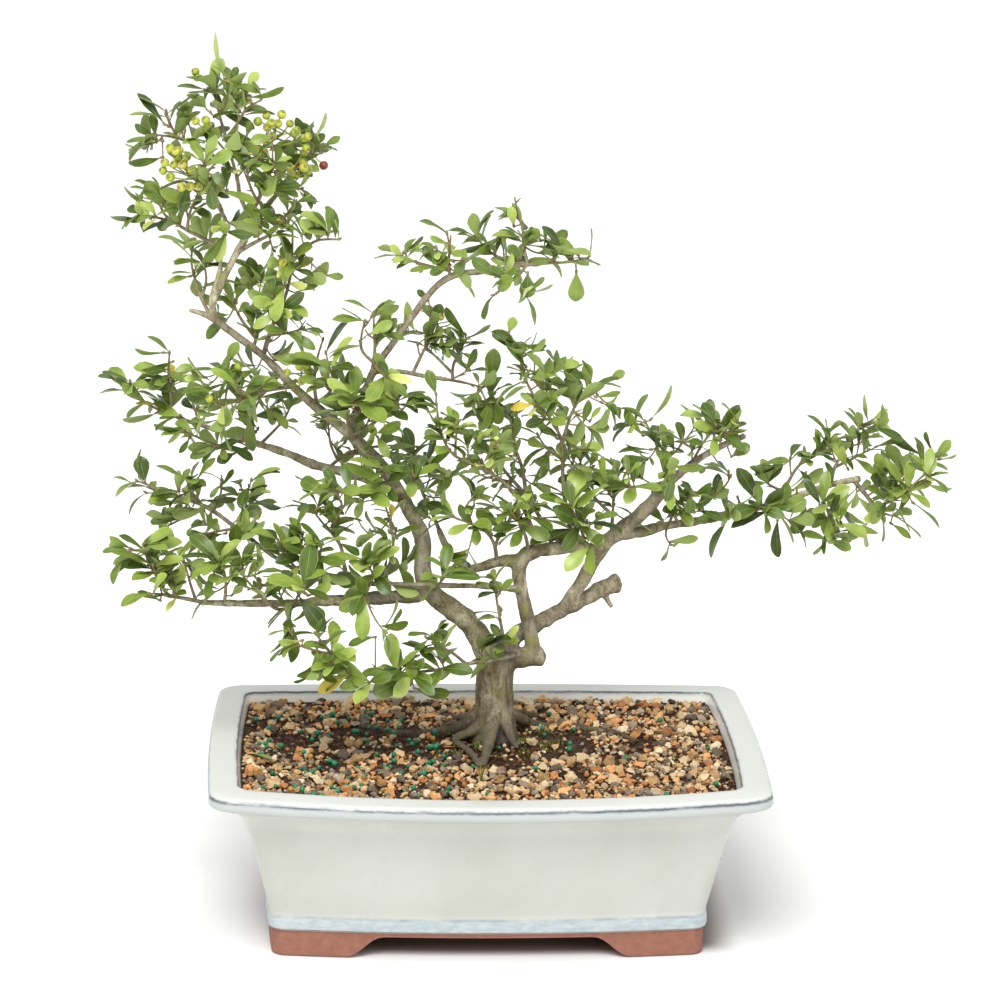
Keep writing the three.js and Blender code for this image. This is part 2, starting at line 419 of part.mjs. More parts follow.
// Leafy branchlets. Each twig has its path (x, z, depth), the number of leaves it carries and their length.
// A twig starts inside the wood or inside an earlier twig of its own branchlet.
const SPRAYS = {
  crown_top: [
    { path: [[-143.5, 433, 18], [-147, 445, 19], [-150, 456, 20],
      [-151, 468, 21]], leaves: 9, length: 15 },
    { path: [[-149, 453, 20], [-144, 461, 15], [-143, 470, 12]], leaves: 6, length: 20 },
    { path: [[-145.5, 439, 18.5], [-139, 448, 12], [-135, 456, 9],
      [-126, 461, 6]], leaves: 8, length: 15 },
  ],
  crown_left: [
    { path: [[-140.5, 421, 19.5], [-152, 430, 24], [-166, 438, 29], [-178, 441, 33], [-187, 441, 35]],
      leaves: 12, length: 17 },
    { path: [[-172, 440, 31], [-176, 447, 27], [-178, 454, 24]], leaves: 4, length: 18 },
  ],
  crown_left_low: [
    { path: [[-148.5, 378, 17], [-156, 383, 22], [-166, 388, 27], [-176, 394, 30], [-181, 399, 32],
      [-184, 411, 33]], leaves: 8, length: 16 },
    { path: [[-176, 394, 30], [-186, 396, 28], [-193, 397, 27]], leaves: 4, length: 15 },
    { path: [[-167, 388.5, 27], [-166, 397, 22], [-163, 405, 18],
      [-158, 410, 16]], leaves: 7, length: 15 },
  ],
  crown_front: [
    { path: [[-146, 395, 15], [-152, 406, 6], [-155, 417, -2],
      [-158, 427, -8]], leaves: 9, length: 15 },
  ],
  crown_middle: [
    { path: [[-134, 397, 22], [-128, 404, 12], [-124, 415, 4],
      [-120, 428, -2]], leaves: 9, length: 15 },
    { path: [[-128, 404, 12], [-133, 414, 2], [-134, 423, -4]], leaves: 5, length: 15 },
  ],
  crown_right: [
    { path: [[-134, 388, 22], [-126, 398, 30], [-118, 408, 36], [-110, 420, 40], [-102, 430, 44],
      [-95, 436, 46]], leaves: 13, length: 15 },
    { path: [[-118, 408, 36], [-110, 412, 30], [-104, 412, 26]], leaves: 4, length: 14 },
  ],
  crown_right_low: [
    { path: [[-140, 376, 21], [-130, 382, 12], [-120, 387, 8], [-113, 397, 3], [-107, 405, 0]],
      leaves: 9, length: 14 },
  ],
  crown_stem: [
    { path: [[-125, 319, 18], [-122, 330, 11], [-118, 341, 7], [-113, 351, 4], [-110, 363, 2],
      [-109, 378, 0], [-109, 391, -2]], leaves: 14, length: 15 },
    { path: [[-109.5, 371, 1], [-101, 380, -6], [-95, 384, -10],
      [-83, 384, -16]], leaves: 6, length: 15 },
    { path: [[-122, 330, 11], [-112, 331, 4], [-103, 334, 0]], leaves: 7, length: 14 },
  ],
  crown_inside: [
    { path: [[-131, 322, 18], [-127, 334, 25], [-128, 346, 31],
      [-133, 357, 34]], leaves: 8, length: 16 },
    { path: [[-129, 328, 21], [-137, 338, 28], [-141, 346, 34],
      [-143, 354, 38]], leaves: 6, length: 15 },
  ],
  crown_stub: [
    { path: [[-155, 342, 18], [-160, 352, 24], [-163, 362, 30], [-165, 371, 34], [-164, 379, 36]],
      leaves: 9, length: 16 },
    { path: [[-159, 351, 23.5], [-156, 361, 28], [-158, 371, 24]], leaves: 5, length: 13 },
  ],
  back_tip: [
    { path: [[-155, 277.5, 61], [-167, 281, 64], [-181, 286.5, 66], [-192, 292, 67], [-200, 299, 66]],
      leaves: 10, length: 16 },
    { path: [[-177, 285, 65.5], [-176, 296, 60], [-178, 307, 56],
      [-177, 320, 54]], leaves: 12, length: 15 },
    { path: [[-161, 279, 62.5], [-163, 288, 68], [-166, 295, 72]], leaves: 6, length: 14 },
  ],
  middle_left: [
    { path: [[-109, 301, 17], [-118, 300, 7], [-130, 297, -1], [-140, 292, -7], [-151, 290, -11]],
      leaves: 13, length: 16 },
    { path: [[-136, 294, -5], [-144, 300, 0], [-148, 310, 4]], leaves: 8, length: 16 },
  ],
  back_low: [
    { path: [[-129, 268.5, 54], [-138, 264, 44], [-148, 266, 37], [-158, 270, 32], [-166, 274, 30]],
      leaves: 9, length: 15 },
    { path: [[-131, 267.5, 51], [-132, 279, 40], [-130, 288, 32],
      [-126, 296, 28]], leaves: 8, length: 16 },
    { path: [[-127, 268, 53], [-119, 276, 58], [-113, 283, 60],
      [-110, 290, 60]], leaves: 6, length: 12 },
  ],
  back_inner: [
    { path: [[-89, 254.5, 36], [-82, 261, 42], [-70, 266, 46], [-58, 268, 48]], leaves: 9, length: 14 },
    { path: [[-84, 260, 41], [-88, 268, 48], [-89, 280, 54]], leaves: 5, length: 12 },
  ],
  top_low: [
    { path: [[-65, 308, -4], [-63, 322, -12], [-64, 333, -17],
      [-64, 343, -20]], leaves: 11, length: 16 },
    { path: [[-64, 315, -8], [-71, 321, -4], [-71, 330, 0], [-69, 338, 2]], leaves: 7, length: 15 },
    { path: [[-64, 314, -7.5], [-60, 309, -18], [-56, 306, -24]], leaves: 5, length: 17 },
  ],
  inner_left: [
    { path: [[-95, 289, 16], [-97, 301, 24], [-96, 315, 31], [-92, 328, 34]], leaves: 8, length: 13 },
    { path: [[-95.5, 292, 18], [-88, 297, 4], [-86, 305, -8], [-89, 313, -14]], leaves: 9, length: 19 },
  ],
  inner_front: [
    { path: [[-73, 270, 12], [-79, 282, -2], [-79, 290, -12], [-73, 295, -20]], leaves: 8, length: 21 },
    { path: [[-75, 274, 7], [-64, 280, -2], [-56, 287, -10], [-50, 294, -14]], leaves: 10, length: 17 },
  ],
  cross_up: [
    { path: [[-42, 309, 1], [-38, 318, 7], [-33, 328, 11], [-29, 338, 13]], leaves: 11, length: 14 },
  ],
  cross_tip: [
    { path: [[-26, 306, 6.5], [-14, 304, 11], [-3, 301, 14]], leaves: 5, length: 14 },
    { path: [[-20, 305, 9], [-20, 314, 16], [-16, 321, 20], [-13, 328, 22]], leaves: 10, length: 13 },
    { path: [[-20, 309, 12], [-28, 317, 20], [-35, 324, 25]], leaves: 5, length: 12 },
  ],
  low_left_shoots: [
    { path: [[-149, 227, 7.7], [-158, 233, 10], [-167, 236, 12], [-177, 240, 14], [-187, 244, 16],
      [-196, 247, 17]], leaves: 13, length: 15 },
    { path: [[-160, 233.5, 10.5], [-166, 240, 3], [-168, 248, -2]], leaves: 8, length: 15 },
    { path: [[-153, 229.5, 8.8], [-149, 238, 15], [-148, 247, 20]], leaves: 7, length: 15 },
    { path: [[-157, 232.5, 10], [-166, 228, 18], [-175, 223, 24],
      [-181, 220, 28]], leaves: 6, length: 15 },
  ],
  upright_left: [
    { path: [[-134, 215, 4], [-133, 225, 10], [-135, 236, 15],
      [-138, 245, 18]], leaves: 9, length: 17 },
  ],
  low_left_inner: [
    { path: [[-143, 222, 6], [-143, 213, -5], [-141, 206, -12]], leaves: 7, length: 17 },
    { path: [[-143, 219.5, 2.5], [-152, 218, -5], [-159, 216, -10]], leaves: 6, length: 15 },
  ],
  low_tip: [
    { path: [[-159, 177, -39.5], [-170, 179.5, -42], [-179, 180.5, -42], [-184, 190, -42],
      [-189, 199, -43],
      [-192, 207, -45]], leaves: 12, length: 17 },
    { path: [[-177, 180, -42], [-184, 182, -50], [-189, 182, -55]], leaves: 4, length: 13 },
    { path: [[-163, 178, -40], [-166, 187, -34], [-170, 203, -28]], leaves: 5, length: 14 },
  ],
  low_spur: [
    { path: [[-147, 177, -38], [-146, 187, -46], [-147, 196, -52],
      [-151, 202, -56]], leaves: 9, length: 17 },
  ],
  low_front: [
    { path: [[-104, 177, -29], [-112, 173, -38], [-119, 173, -45], [-126, 180, -50], [-132, 187, -53],
      [-138, 194, -55]], leaves: 9, length: 14 },
    { path: [[-108, 174.5, -34], [-106, 181, -44], [-102, 186, -50]], leaves: 7, length: 21 },
  ],
  thin_limb_front: [
    { path: [[-105, 194.5, -5.5], [-112, 203, -15], [-117, 213, -21]], leaves: 7, length: 18 },
    { path: [[-110, 200, -12], [-104, 208, -15], [-103, 217, -16]], leaves: 6, length: 14 },
    { path: [[-107, 197, -9], [-99, 199, -22], [-94, 204, -28],
      [-92, 211, -31]], leaves: 7, length: 17 },
  ],
  thin_limb_upright: [
    { path: [[-77, 188, -17], [-80, 199, -10], [-81, 209, -5], [-86, 216, -2], [-92, 223, 2],
      [-98, 231, 5]],
      leaves: 10, length: 15 },
    { path: [[-86, 216, -2], [-85, 225, -10], [-79, 234, -14]], leaves: 6, length: 13 },
  ],
  thin_limb_inner: [
    { path: [[-58, 188, -19], [-64, 194, -25], [-67.5, 201.5, -29]], leaves: 9, length: 18 },
    { path: [[-60, 190, -21.5], [-53, 200, -14], [-52, 214, -10], [-55, 228, -8], [-58, 236, -7]],
      leaves: 9, length: 14 },
    { path: [[-63, 193, -24], [-66, 185, -32], [-68, 180, -36]], leaves: 3, length: 19 },
  ],
  left_limb_front: [
    { path: [[-45.5, 235, 4], [-55, 238, -7], [-70, 240, -14], [-83, 241, -18], [-92, 241, -20]],
      leaves: 10, length: 15 },
    { path: [[-52, 237.5, -4.5], [-56, 246, -12], [-59, 254, -17]], leaves: 8, length: 18 },
    { path: [[-49, 236, 0], [-43, 243, -10], [-41, 250, -16]], leaves: 7, length: 16 },
  ],
  curved_limb_up: [
    { path: [[-26.5, 219, 14], [-30, 228, 17], [-36, 240, 19], [-40, 251, 21], [-41, 263, 23]],
      leaves: 12, length: 17 },
  ],
  centre_low: [
    { path: [[6, 201, 5.5], [5, 211, -3], [0, 219, -8], [-9, 223, -12], [-19, 227, -16]],
      leaves: 11, length: 16 },
    { path: [[-9, 223, -12], [-13, 232, -12], [-7, 239, -10]], leaves: 5, length: 14 },
    { path: [[5, 211, -3], [10, 220, 4], [11, 229, 8]], leaves: 7, length: 15 },
  ],
  centre_arch: [
    { path: [[28, 207.5, 6], [26, 220, -2], [20, 234, -9], [12, 245, -14], [1, 253, -18],
      [-10, 258, -22],
      [-21, 263, -26], [-27, 277, -28], [-29, 293, -30]], leaves: 14, length: 15 },
    { path: [[-18, 261.5, -25], [-18, 270, -30], [-17, 279, -33]], leaves: 5, length: 13 },
    { path: [[2, 252.5, -18], [2, 262, -22], [6, 270, -24]], leaves: 6, length: 13 },
  ],
  centre_upright: [
    { path: [[38, 208.7, 8], [32, 224, 18], [20, 242, 22], [8, 255, 22], [3, 266, 22], [1, 281, 21],
      [2, 299, 20]], leaves: 15, length: 14 },
    { path: [[22, 239, 21.5], [20, 255, 30], [14, 270, 34], [14, 286, 36]], leaves: 11, length: 15 },
  ],
  right_upright: [
    { path: [[49, 210, 10.5], [46, 225, 1], [43, 241, -5], [42, 257, -8], [42, 270, -10],
      [37, 281, -12],
      [29, 291, -14], [22, 302, -16], [18, 314, -18], [16, 324, -20]], leaves: 18, length: 16 },
    { path: [[42, 270, -10], [46, 286, -8], [52, 296, -6], [57, 303, -4]], leaves: 9, length: 15 },
    { path: [[42, 260, -8.5], [33, 266, -4], [28, 274, 0]], leaves: 6, length: 15 },
  ],
  right_fork: [
    { path: [[70, 214.5, 10.6], [71, 228, 19], [71, 240, 24], [73, 254, 27]], leaves: 10, length: 16 },
    { path: [[71, 228, 19], [60, 238, 22], [54, 249, 23], [52, 260, 24]], leaves: 9, length: 15 },
  ],
  right_front: [
    { path: [[103, 248, 3], [90, 245, -8], [76, 244, -16], [66, 245, -20]], leaves: 9, length: 15 },
    { path: [[101, 247.6, 1], [97, 262, -2], [93, 273, 0], [88, 282, 2]], leaves: 9, length: 15 },
    { path: [[98, 259, -1], [106, 265, -8], [110, 271, -12]], leaves: 6, length: 14 },
  ],
  fork_front: [
    { path: [[56, 209.5, 12], [54, 219, -4], [50, 227, -13], [47, 234, -19]], leaves: 9, length: 19 },
    { path: [[55, 215, 2], [60, 214, -8], [58, 210, -14]], leaves: 4, length: 17 },
  ],
  centre_front: [
    { path: [[24, 206.5, 5], [22, 217, -8], [17, 226, -17], [12, 232, -22]], leaves: 9, length: 16 },
  ],
  right_cut_limb: [
    { path: [[109, 253.5, 1.5], [118, 260.5, -1], [128, 266.5, -3], [137, 271, -5], [144, 274, -6]],
      leaves: 0, length: 14, radius: 2.1, tip: 1.8 },
    { path: [[115, 258.5, 0], [119, 267, 8], [124, 275, 14]], leaves: 7, length: 15 },
    { path: [[126, 265.5, -2.5], [127, 275, -10], [126, 284, -14]], leaves: 6, length: 16 },
    { path: [[134, 269.5, -4.5], [137, 277, -12], [140, 282, -16]], leaves: 5, length: 15 },
  ],
  far_low: [
    { path: [[108, 223.5, 29], [104, 231, 20], [109, 236, 14], [116, 241, 10]], leaves: 9, length: 14 },
    { path: [[106, 228, 24], [116, 232, 22], [126, 238, 20], [134, 245, 18], [137, 251, 16]],
      leaves: 9, length: 14 },
    { path: [[105, 229, 23], [100, 217, 14], [104, 211, 10]], leaves: 3, length: 13 },
  ],
  far_middle: [
    { path: [[143, 231, 41], [153, 235, 34], [163, 232, 29]], leaves: 6, length: 19 },
    { path: [[149, 233.5, 37], [143, 230, 30], [136, 226, 26]], leaves: 4, length: 19 },
  ],
  far_upright: [
    { path: [[164, 235, 46.5], [169, 247, 50], [175, 258, 53], [184, 263, 55], [192, 269, 56]],
      leaves: 11, length: 14 },
    { path: [[167, 242, 48.7], [158, 246, 44], [153, 252, 41]], leaves: 6, length: 14 },
  ],
  far_hanging: [
    { path: [[186, 243.5, 51.3], [190, 236, 42], [194, 226, 36],
      [195, 216, 33]], leaves: 12, length: 18 },
  ],
  far_tall: [
    { path: [[193, 246, 52.5], [195, 256, 57], [201, 267, 61], [206, 274, 63], [209, 281, 64]],
      leaves: 13, length: 14 },
    { path: [[195, 256, 57], [205, 261, 64], [214, 266, 68]], leaves: 7, length: 15 },
  ],
  far_tip: [
    { path: [[206, 249, 55], [213, 241, 54], [219, 233, 53], [231, 238, 49], [241, 245, 45],
      [250, 252, 42]],
      leaves: 13, length: 16 },
    { path: [[211, 243.5, 54.3], [222, 247, 62], [234, 251, 66],
      [246, 260, 69]], leaves: 11, length: 16 },
    { path: [[219, 233, 53], [225, 229, 60], [231, 228, 63]], leaves: 4, length: 17 },
  ],
  top_tip: [
    { path: [[17, 370, -16.5], [31, 371.5, -15], [45, 372, -14],
      [55, 375, -12]], leaves: 10, length: 17 },
    { path: [[21, 370.6, -16], [18.5, 381, -12], [18, 391, -8],
      [15, 398, -6]], leaves: 10, length: 14 },
    { path: [[20.5, 370.6, -16], [16, 364, -22], [9, 359, -28], [2, 353, -32]], leaves: 5, length: 16 },
    { path: [[20, 370.5, -16], [9, 372.5, -9], [0, 377, -4], [-8, 386, 0]], leaves: 9, length: 15 },
  ],
  top_left: [
    { path: [[-22, 364, -18], [-23, 371, -26], [-22, 380, -31],
      [-24, 388, -33]], leaves: 8, length: 14 },
    { path: [[-22.5, 367, -21], [-36, 370, -18], [-46, 373, -15],
      [-51, 376, -13]], leaves: 6, length: 14 },
  ],
  low_branch: [
    { path: [[20, 147, -1], [13, 145.5, -12], [4, 143, -18], [-8, 142, -23], [-20, 139, -28],
      [-29, 137.5, -32],
      [-42, 136, -37], [-59, 135, -42], [-79, 134, -48]], leaves: 12, length: 19, radius: 1.5 },
    { path: [[-11, 141.5, -24], [-17, 147, -30], [-24, 151, -35],
      [-30, 158, -38]], leaves: 4, length: 12 },
    { path: [[-73, 134.3, -46.3], [-82, 141, -50], [-89, 150, -53],
      [-96, 159, -56]], leaves: 8, length: 17 },
    { path: [[-87, 147, -52], [-97, 149, -58], [-108, 153, -62]], leaves: 5, length: 14 },
  ],
  trunk_shoot: [
    { path: [[13, 146, -2], [10.5, 156, -14], [8, 169, -17], [6, 180, -17], [4.5, 191, -14]],
      leaves: 8, length: 13 },
  ],
  left_fork: [
    { path: [[-30, 183, -7], [-27, 187, -19], [-24, 192, -25]], leaves: 7, length: 17 },
  ],
};

// Berry bunches: the stalk's path and each berry's place (x, z), hung at the depth given for the bunch.
const BUNCHES = {
  berries_crown_left: {
    stalk: [[-149, 403, 14.5], [-157, 411, 13], [-167, 421, 12]],
    depth: 1,
    places: [[-176, 434], [-171, 433], [-179, 426], [-174, 425], [-169, 425], [-176, 418], [-164, 422],
      [-159, 423], [-170, 412.5], [-165, 413], [-160, 413]],
  },
  berries_crown_top: {
    stalk: [[-142.5, 429, 18.5], [-152, 440, 14]],
    depth: 5,
    places: [[-162, 449], [-156.5, 449.5]],
  },
  berries_crown_right: {
    stalk: [[-139.5, 418, 19.7], [-128, 432, 22], [-113, 444, 22]],
    depth: 11,
    places: [[-128, 449], [-123, 446], [-120, 441], [-117, 448], [-115, 453], [-110.5, 448],
      [-107, 444],
      [-103, 440]],
  },
  berries_crown_low: {
    stalk: [[-132, 393, 22], [-120, 408, 28], [-109, 417, 30]],
    depth: 20,
    places: [[-116, 422], [-111, 424], [-107, 419.5], [-101.5, 422], [-110, 412.5], [-103, 426.5]],
  },
  berries_middle: {
    stalk: [[-106, 299, 17], [-104.5, 304, 9], [-104, 307, 7]],
    depth: -2,
    places: [[-112, 309], [-105, 312.5], [-100, 310], [-104, 304], [-98.5, 305]],
  },
};

// Points along a path, about one for each step of the given length.
function walk(points, step) {
  const places = [];
  for (let i = 0; i < points.length - 1; i += 1) {
    const count = Math.max(1, Math.ceil(points[i].distanceTo(points[i + 1]) / step));
    for (let k = 0; k < count; k += 1) {
      const at = points[i].clone().lerp(points[i + 1], k / count);
      places.push({ at, i, k, count });
    }
  }
  places.push({ at: points.at(-1).clone(), i: points.length - 2, k: 1, count: 1 });
  return places;
}

// Balls that stand for everything already placed, so that leaves of different branchlets stay apart.
class Crowd {
  constructor() {
    this.cells = new Map();
  }

  static key(x, y, z) {
    return `${Math.floor(x / CELL)},${Math.floor(y / CELL)},${Math.floor(z / CELL)}`;
  }

  add(balls, owner) {
    for (const { at, radius } of balls) {
      const key = Crowd.key(at.x, at.y, at.z);
      if (!this.cells.has(key)) this.cells.set(key, []);
      this.cells.get(key).push({ at, radius, owner });
    }
  }

  isClear(balls, owner) {
    return balls.every(({ at, radius }) => {
      for (const dx of [-CELL, 0, CELL]) {
        for (const dy of [-CELL, 0, CELL]) {
          for (const dz of [-CELL, 0, CELL]) {
            const near = this.cells.get(Crowd.key(at.x + dx, at.y + dy, at.z + dz)) ?? [];
            const hit = near.some((other) => other.owner !== owner
              && other.at.distanceTo(at) < other.radius + radius + CROWD_GAP);
            if (hit) return false;
          }
        }
      }
      return true;
    });
  }
}

function pathLength(points) {
  return points.slice(1).reduce((sum, point, i) => sum + point.distanceTo(points[i]), 0);
}

// Path points, radii and balls of one twig, which gets thinner evenly from its root to its tip.
function growTwig(twig) {
  const points = twig.path.map(([x, z, depth]) => seenAt(x, z, depth));
  const whole = pathLength(points);
  const { least, most, start, perMm } = TWIG_BASE_RADIUS;
  const base = twig.radius ?? THREE.MathUtils.clamp(start + whole * perMm, least, most);
  const tip = twig.tip ?? TWIG_TIP_RADIUS;
  const radii = points.map((point, i) => {
    const share = pathLength(points.slice(0, i + 1)) / whole;
    return base + (tip - base) * share;
  });
  const balls = walk(points, BALL_STEP).map(({ at, i, k, count }) => {
    const share = k / count;
    return { at, radius: radii[i] * (1 - share) + radii[i + 1] * share };
  });
  return { ...twig, points, radii, balls };
}

function pointAlong(points, share) {
  let left = share * pathLength(points);
  for (let i = 0; i < points.length - 1; i += 1) {
    const span = points[i].distanceTo(points[i + 1]);
    if (left <= span || i === points.length - 2) {
      const along = points[i + 1].clone().sub(points[i]).normalize();
      return { at: points[i].clone().addScaledVector(along, Math.min(left, span)), along };
    }
    left -= span;
  }
  return null;
}

// Where leaf number i of a twig sits and which way it points. Leaves stand in rosettes: one at the
// twig's tip and others on its outer part, each turned from the last by the golden angle.
function leafPose(twig, points, i, seed, attempt) {
  const random = seededRandom(seed * 1000 + i);
  const rosettes = Math.max(1, Math.round(twig.leaves / LEAVES_PER_ROSETTE));
  const rosette = i % rosettes;
  const rank = Math.floor(i / rosettes);
  const step = (LEAF_STEP * rank) / pathLength(points);
  const place = pointAlong(points, TIP_SHARE - (ROSETTE_SPAN * rosette) / rosettes - step);
  const up = new THREE.Vector3(0, 0, 1);
  const level = new THREE.Vector3().crossVectors(place.along, up).normalize();
  const spurTurn = 2 * Math.PI * seededRandom(seed * 1000 + 500 + rosette)();
  const axis = place.along.clone().multiplyScalar(rosette === 0 ? 1 : SPUR_ALONG);
  if (rosette > 0) {
    const rise = new THREE.Vector3().crossVectors(level, place.along);
    axis.addScaledVector(level, SPUR_SPREAD * Math.cos(spurTurn));
    axis.addScaledVector(rise, SPUR_SPREAD * Math.sin(spurTurn));
  }
  axis.addScaledVector(up, REACH_FOR_LIGHT).normalize();
  const across = new THREE.Vector3().crossVectors(axis, DEPTHWAYS).normalize();
  const other = new THREE.Vector3().crossVectors(axis, across);
  const turn = GOLDEN_ANGLE * rank + 0.9 * random() + NEXT_TRY_TURN * attempt;
  const tilt = 0.45 + 0.75 * random();
  const direction = axis.clone().multiplyScalar(Math.cos(tilt))
    .addScaledVector(across, Math.sin(tilt) * Math.cos(turn))
    .addScaledVector(other, Math.sin(tilt) * Math.sin(turn));
  const face = axis.clone().addScaledVector(direction, -axis.dot(direction)).normalize();
  face.applyAxisAngle(direction, 0.8 * (random() - 0.5));
  const length = twig.length * (0.72 + 0.5 * random());
  const curl = 0.25 + 0.6 * random();
  return { root: place.at, direction, face, length, curl };
}

// Point on a leaf: share along the blade and across it (-1 to 1), lifted off the blade by the given amount.
function leafPoint(pose, share, across, lift) {
  const bend = pose.curl * share;
  const reach = pose.length / pose.curl;
  const side = new THREE.Vector3().crossVectors(pose.direction, pose.face);
  const face = pose.face.clone()
    .multiplyScalar(Math.cos(bend))
    .addScaledVector(pose.direction, Math.sin(bend));
  const halfWidth = 0.5 * LEAF_WIDTH * pose.length * leafWidth(share);
  return pose.root.clone()
    .addScaledVector(pose.direction, reach * Math.sin(bend))
    .addScaledVector(pose.face, -reach * (1 - Math.cos(bend)))
    .addScaledVector(side, halfWidth * across)
    .addScaledVector(face, lift);
}

// Half width of the blade along its length: narrow at the root, widest beyond the middle, blunt at the tip.
function leafWidth(share) {
  return Math.sin(Math.PI * share ** 1.35) ** 0.7;
}

function leafBalls(pose) {
  const balls = [];
  for (let step = 1; step <= 8; step += 1) {
    for (const across of [-0.9, -0.45, 0, 0.45, 0.9]) {
      balls.push({ at: leafPoint(pose, step / 8, across, 0), radius: LEAF_BALL });
    }
  }
  return balls;
}

// Arched blade with a sharp edge: the upper side rises to a point on the midrib, the underside is split
// straight across, so that only three edges run into the twig at the root.
function leafSolid(pose) {
  const stations = [0.34, 0.7, 0.93];
  const right = stations.map((share) => leafPoint(pose, share, 1, 0));
  const left = stations.map((share) => leafPoint(pose, share, -1, 0)).reverse();
  const edge = [leafPoint(pose, 0, 0, 0), ...right, leafPoint(pose, 1, 0, 0), ...left];
  const count = edge.length;
  const index = [];
  for (let i = 0; i < count; i += 1) index.push(i, (i + 1) % count, count);
  for (let i = 1; i < count / 2; i += 1) {
    index.push(i, count - i, i + 1);
    if (i + 1 < count / 2) index.push(i + 1, count - i, count - i - 1);
  }
  index.push(0, count - 1, 1);
  const top = leafPoint(pose, 0.6, 0, LEAF_THICKNESS);
  const geometry = new THREE.BufferGeometry().setFromPoints([...edge, top]);
  geometry.setIndex(index);
  return toSolid(geometry);
}

const keepLeaf = (i) => i === 0 || (i * GOLDEN_SHARE) % 1 < LEAF_SHARE;

function limbBalls() {
  return Object.values(LIMBS).flatMap((rows) => {
    const points = rows.map(([x, z, depth]) => seenAt(x, z, depth));
    return walk(points, LIMB_BALL_STEP).map(({ at, i, k, count }) => {
      const share = k / count;
      return { at, radius: rows[i][3] * (1 - share) + rows[i + 1][3] * share };
    });
  });
}

function growBunch(bunch, seed) {
  const random = seededRandom(seed);
  const stalk = bunch.stalk.map(([x, z, depth]) => seenAt(x, z, depth));
  const berries = bunch.places.map(([x, z]) => {
    const shift = BERRY_DEPTH_SPREAD * (random() - 0.5);
    return seenAt(x, z, bunch.depth + shift);
  });
  const stems = [stem(stalk, stalk.map(() => STALK_RADIUS), TWIG_SIDES)];
  const balls = walk(stalk, BALL_STEP).map(({ at }) => ({ at, radius: STALK_RADIUS }));
  berries.forEach((berry, i) => {
    const from = pointAlong(stalk, 0.99 - (BUNCH_SPAN * i) / berries.length).at;
    stems.push(stem([from, berry], BERRY_STALK_RADII, TWIG_SIDES));
    const ball = new THREE.IcosahedronGeometry(BERRY_RADIUS, 0);
    ball.rotateZ(6 * random());
    ball.translate(berry.x, berry.y, berry.z);
    stems.push(toSolid(ball));
    balls.push(...walk([from, berry], BALL_STEP).map(({ at }) => ({ at, radius: 0.5 })));
    balls.push({ at: berry, radius: BERRY_RADIUS });
  });
  return { solid: wasm.Manifold.union(stems), balls };
}

// Whole tree: the wood first, then every twig and bunch, then the leaves one by one where there is room.
function growTree() {
  const crowd = new Crowd();
  crowd.add(limbBalls(), "trunk");
  const clearRoom = buildWood(WOOD_GAP);
  const solids = {};
  Object.entries(BUNCHES).forEach(([name, bunch], number) => {
    const grown = growBunch(bunch, 900 + number);
    crowd.add(grown.balls, name);
    solids[name] = largestBody(grown.solid.subtract(clearRoom));
  });
  const branchlets = Object.entries(SPRAYS).map(([name, twigs]) => {
    const grown = twigs.map(growTwig);
    grown.forEach((twig) => crowd.add(twig.balls, name));
    return { name, twigs: grown };
  });
  let seed = 0;
  for (const { name, twigs } of branchlets) {
    const parts = twigs.map((twig) => stem(twig.points, twig.radii, TWIG_SIDES));
    for (const twig of twigs) {
      seed += 1;
      for (let i = 0; i < twig.leaves; i += 1) {
        if (!keepLeaf(i)) continue;
        for (let attempt = 0; attempt < LEAF_TRIES; attempt += 1) {
          const pose = leafPose(twig, twig.points, i, seed, attempt);
          const balls = leafBalls(pose);
          if (!crowd.isClear(balls, name)) continue;
          crowd.add(balls, name);
          parts.push(leafSolid(pose));
          break;
        }
      }
    }
    solids[name] = largestBody(wasm.Manifold.union(parts).subtract(clearRoom));
  }
  return solids;
}

// Colour and roughness of each piece; branchlets and bunches share one each.
const PLASTIC = { color: 0x2b2d2c, roughness: 0.7 };
const LEAF = { color: 0x55702f, roughness: 0.45 };
const BERRY = { color: 0xb9bd3c, roughness: 0.35 };
const LOOKS = {
  pot: { color: 0xd6d7ce, roughness: 0.3 },
  drain_screen_left: PLASTIC,
  drain_screen_right: PLASTIC,
  soil: { color: 0x4a3a2c, roughness: 0.95 },
  trunk: { color: 0x7c7160, roughness: 0.85 },
};

const solids = {
  pot: buildPot(),
  drain_screen_left: buildScreen(-1),
  drain_screen_right: buildScreen(1),
  soil: buildSoil(buildWood(WOOD_GAP)),
  trunk: buildWood(0),
  ...growTree(),
};

const bonsai = new THREE.Group();
for (const [name, solid] of Object.entries(solids)) {
  const look = LOOKS[name] ?? (name in BUNCHES ? BERRY : LEAF);
  const mesh = new THREE.Mesh(toGeometry(solid), new THREE.MeshStandardMaterial(look));
  mesh.name = name;
  bonsai.add(mesh);
}

// The frame's origin is the middle of the underside of the whole part's box.
const box = new THREE.Box3().setFromObject(bonsai);
const middle = box.getCenter(new THREE.Vector3());
bonsai.position.set(-middle.x, -middle.y, -box.min.z);
bonsai.updateMatrixWorld(true);

export default bonsai;
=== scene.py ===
"""Firethorn bonsai in a glazed pot, dressed for a studio picture.

The scene is in metres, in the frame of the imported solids. Tables and sizes here are in millimetres,
and in_frame turns them into metres.
"""

from dataclasses import dataclass
from functools import partialmethod
from itertools import accumulate, product
from math import acos, ceil, cos, exp, floor, hypot, pi, radians, sin

import bpy
import numpy as np
from mathutils import Matrix, Vector, noise
from numpy.linalg import norm


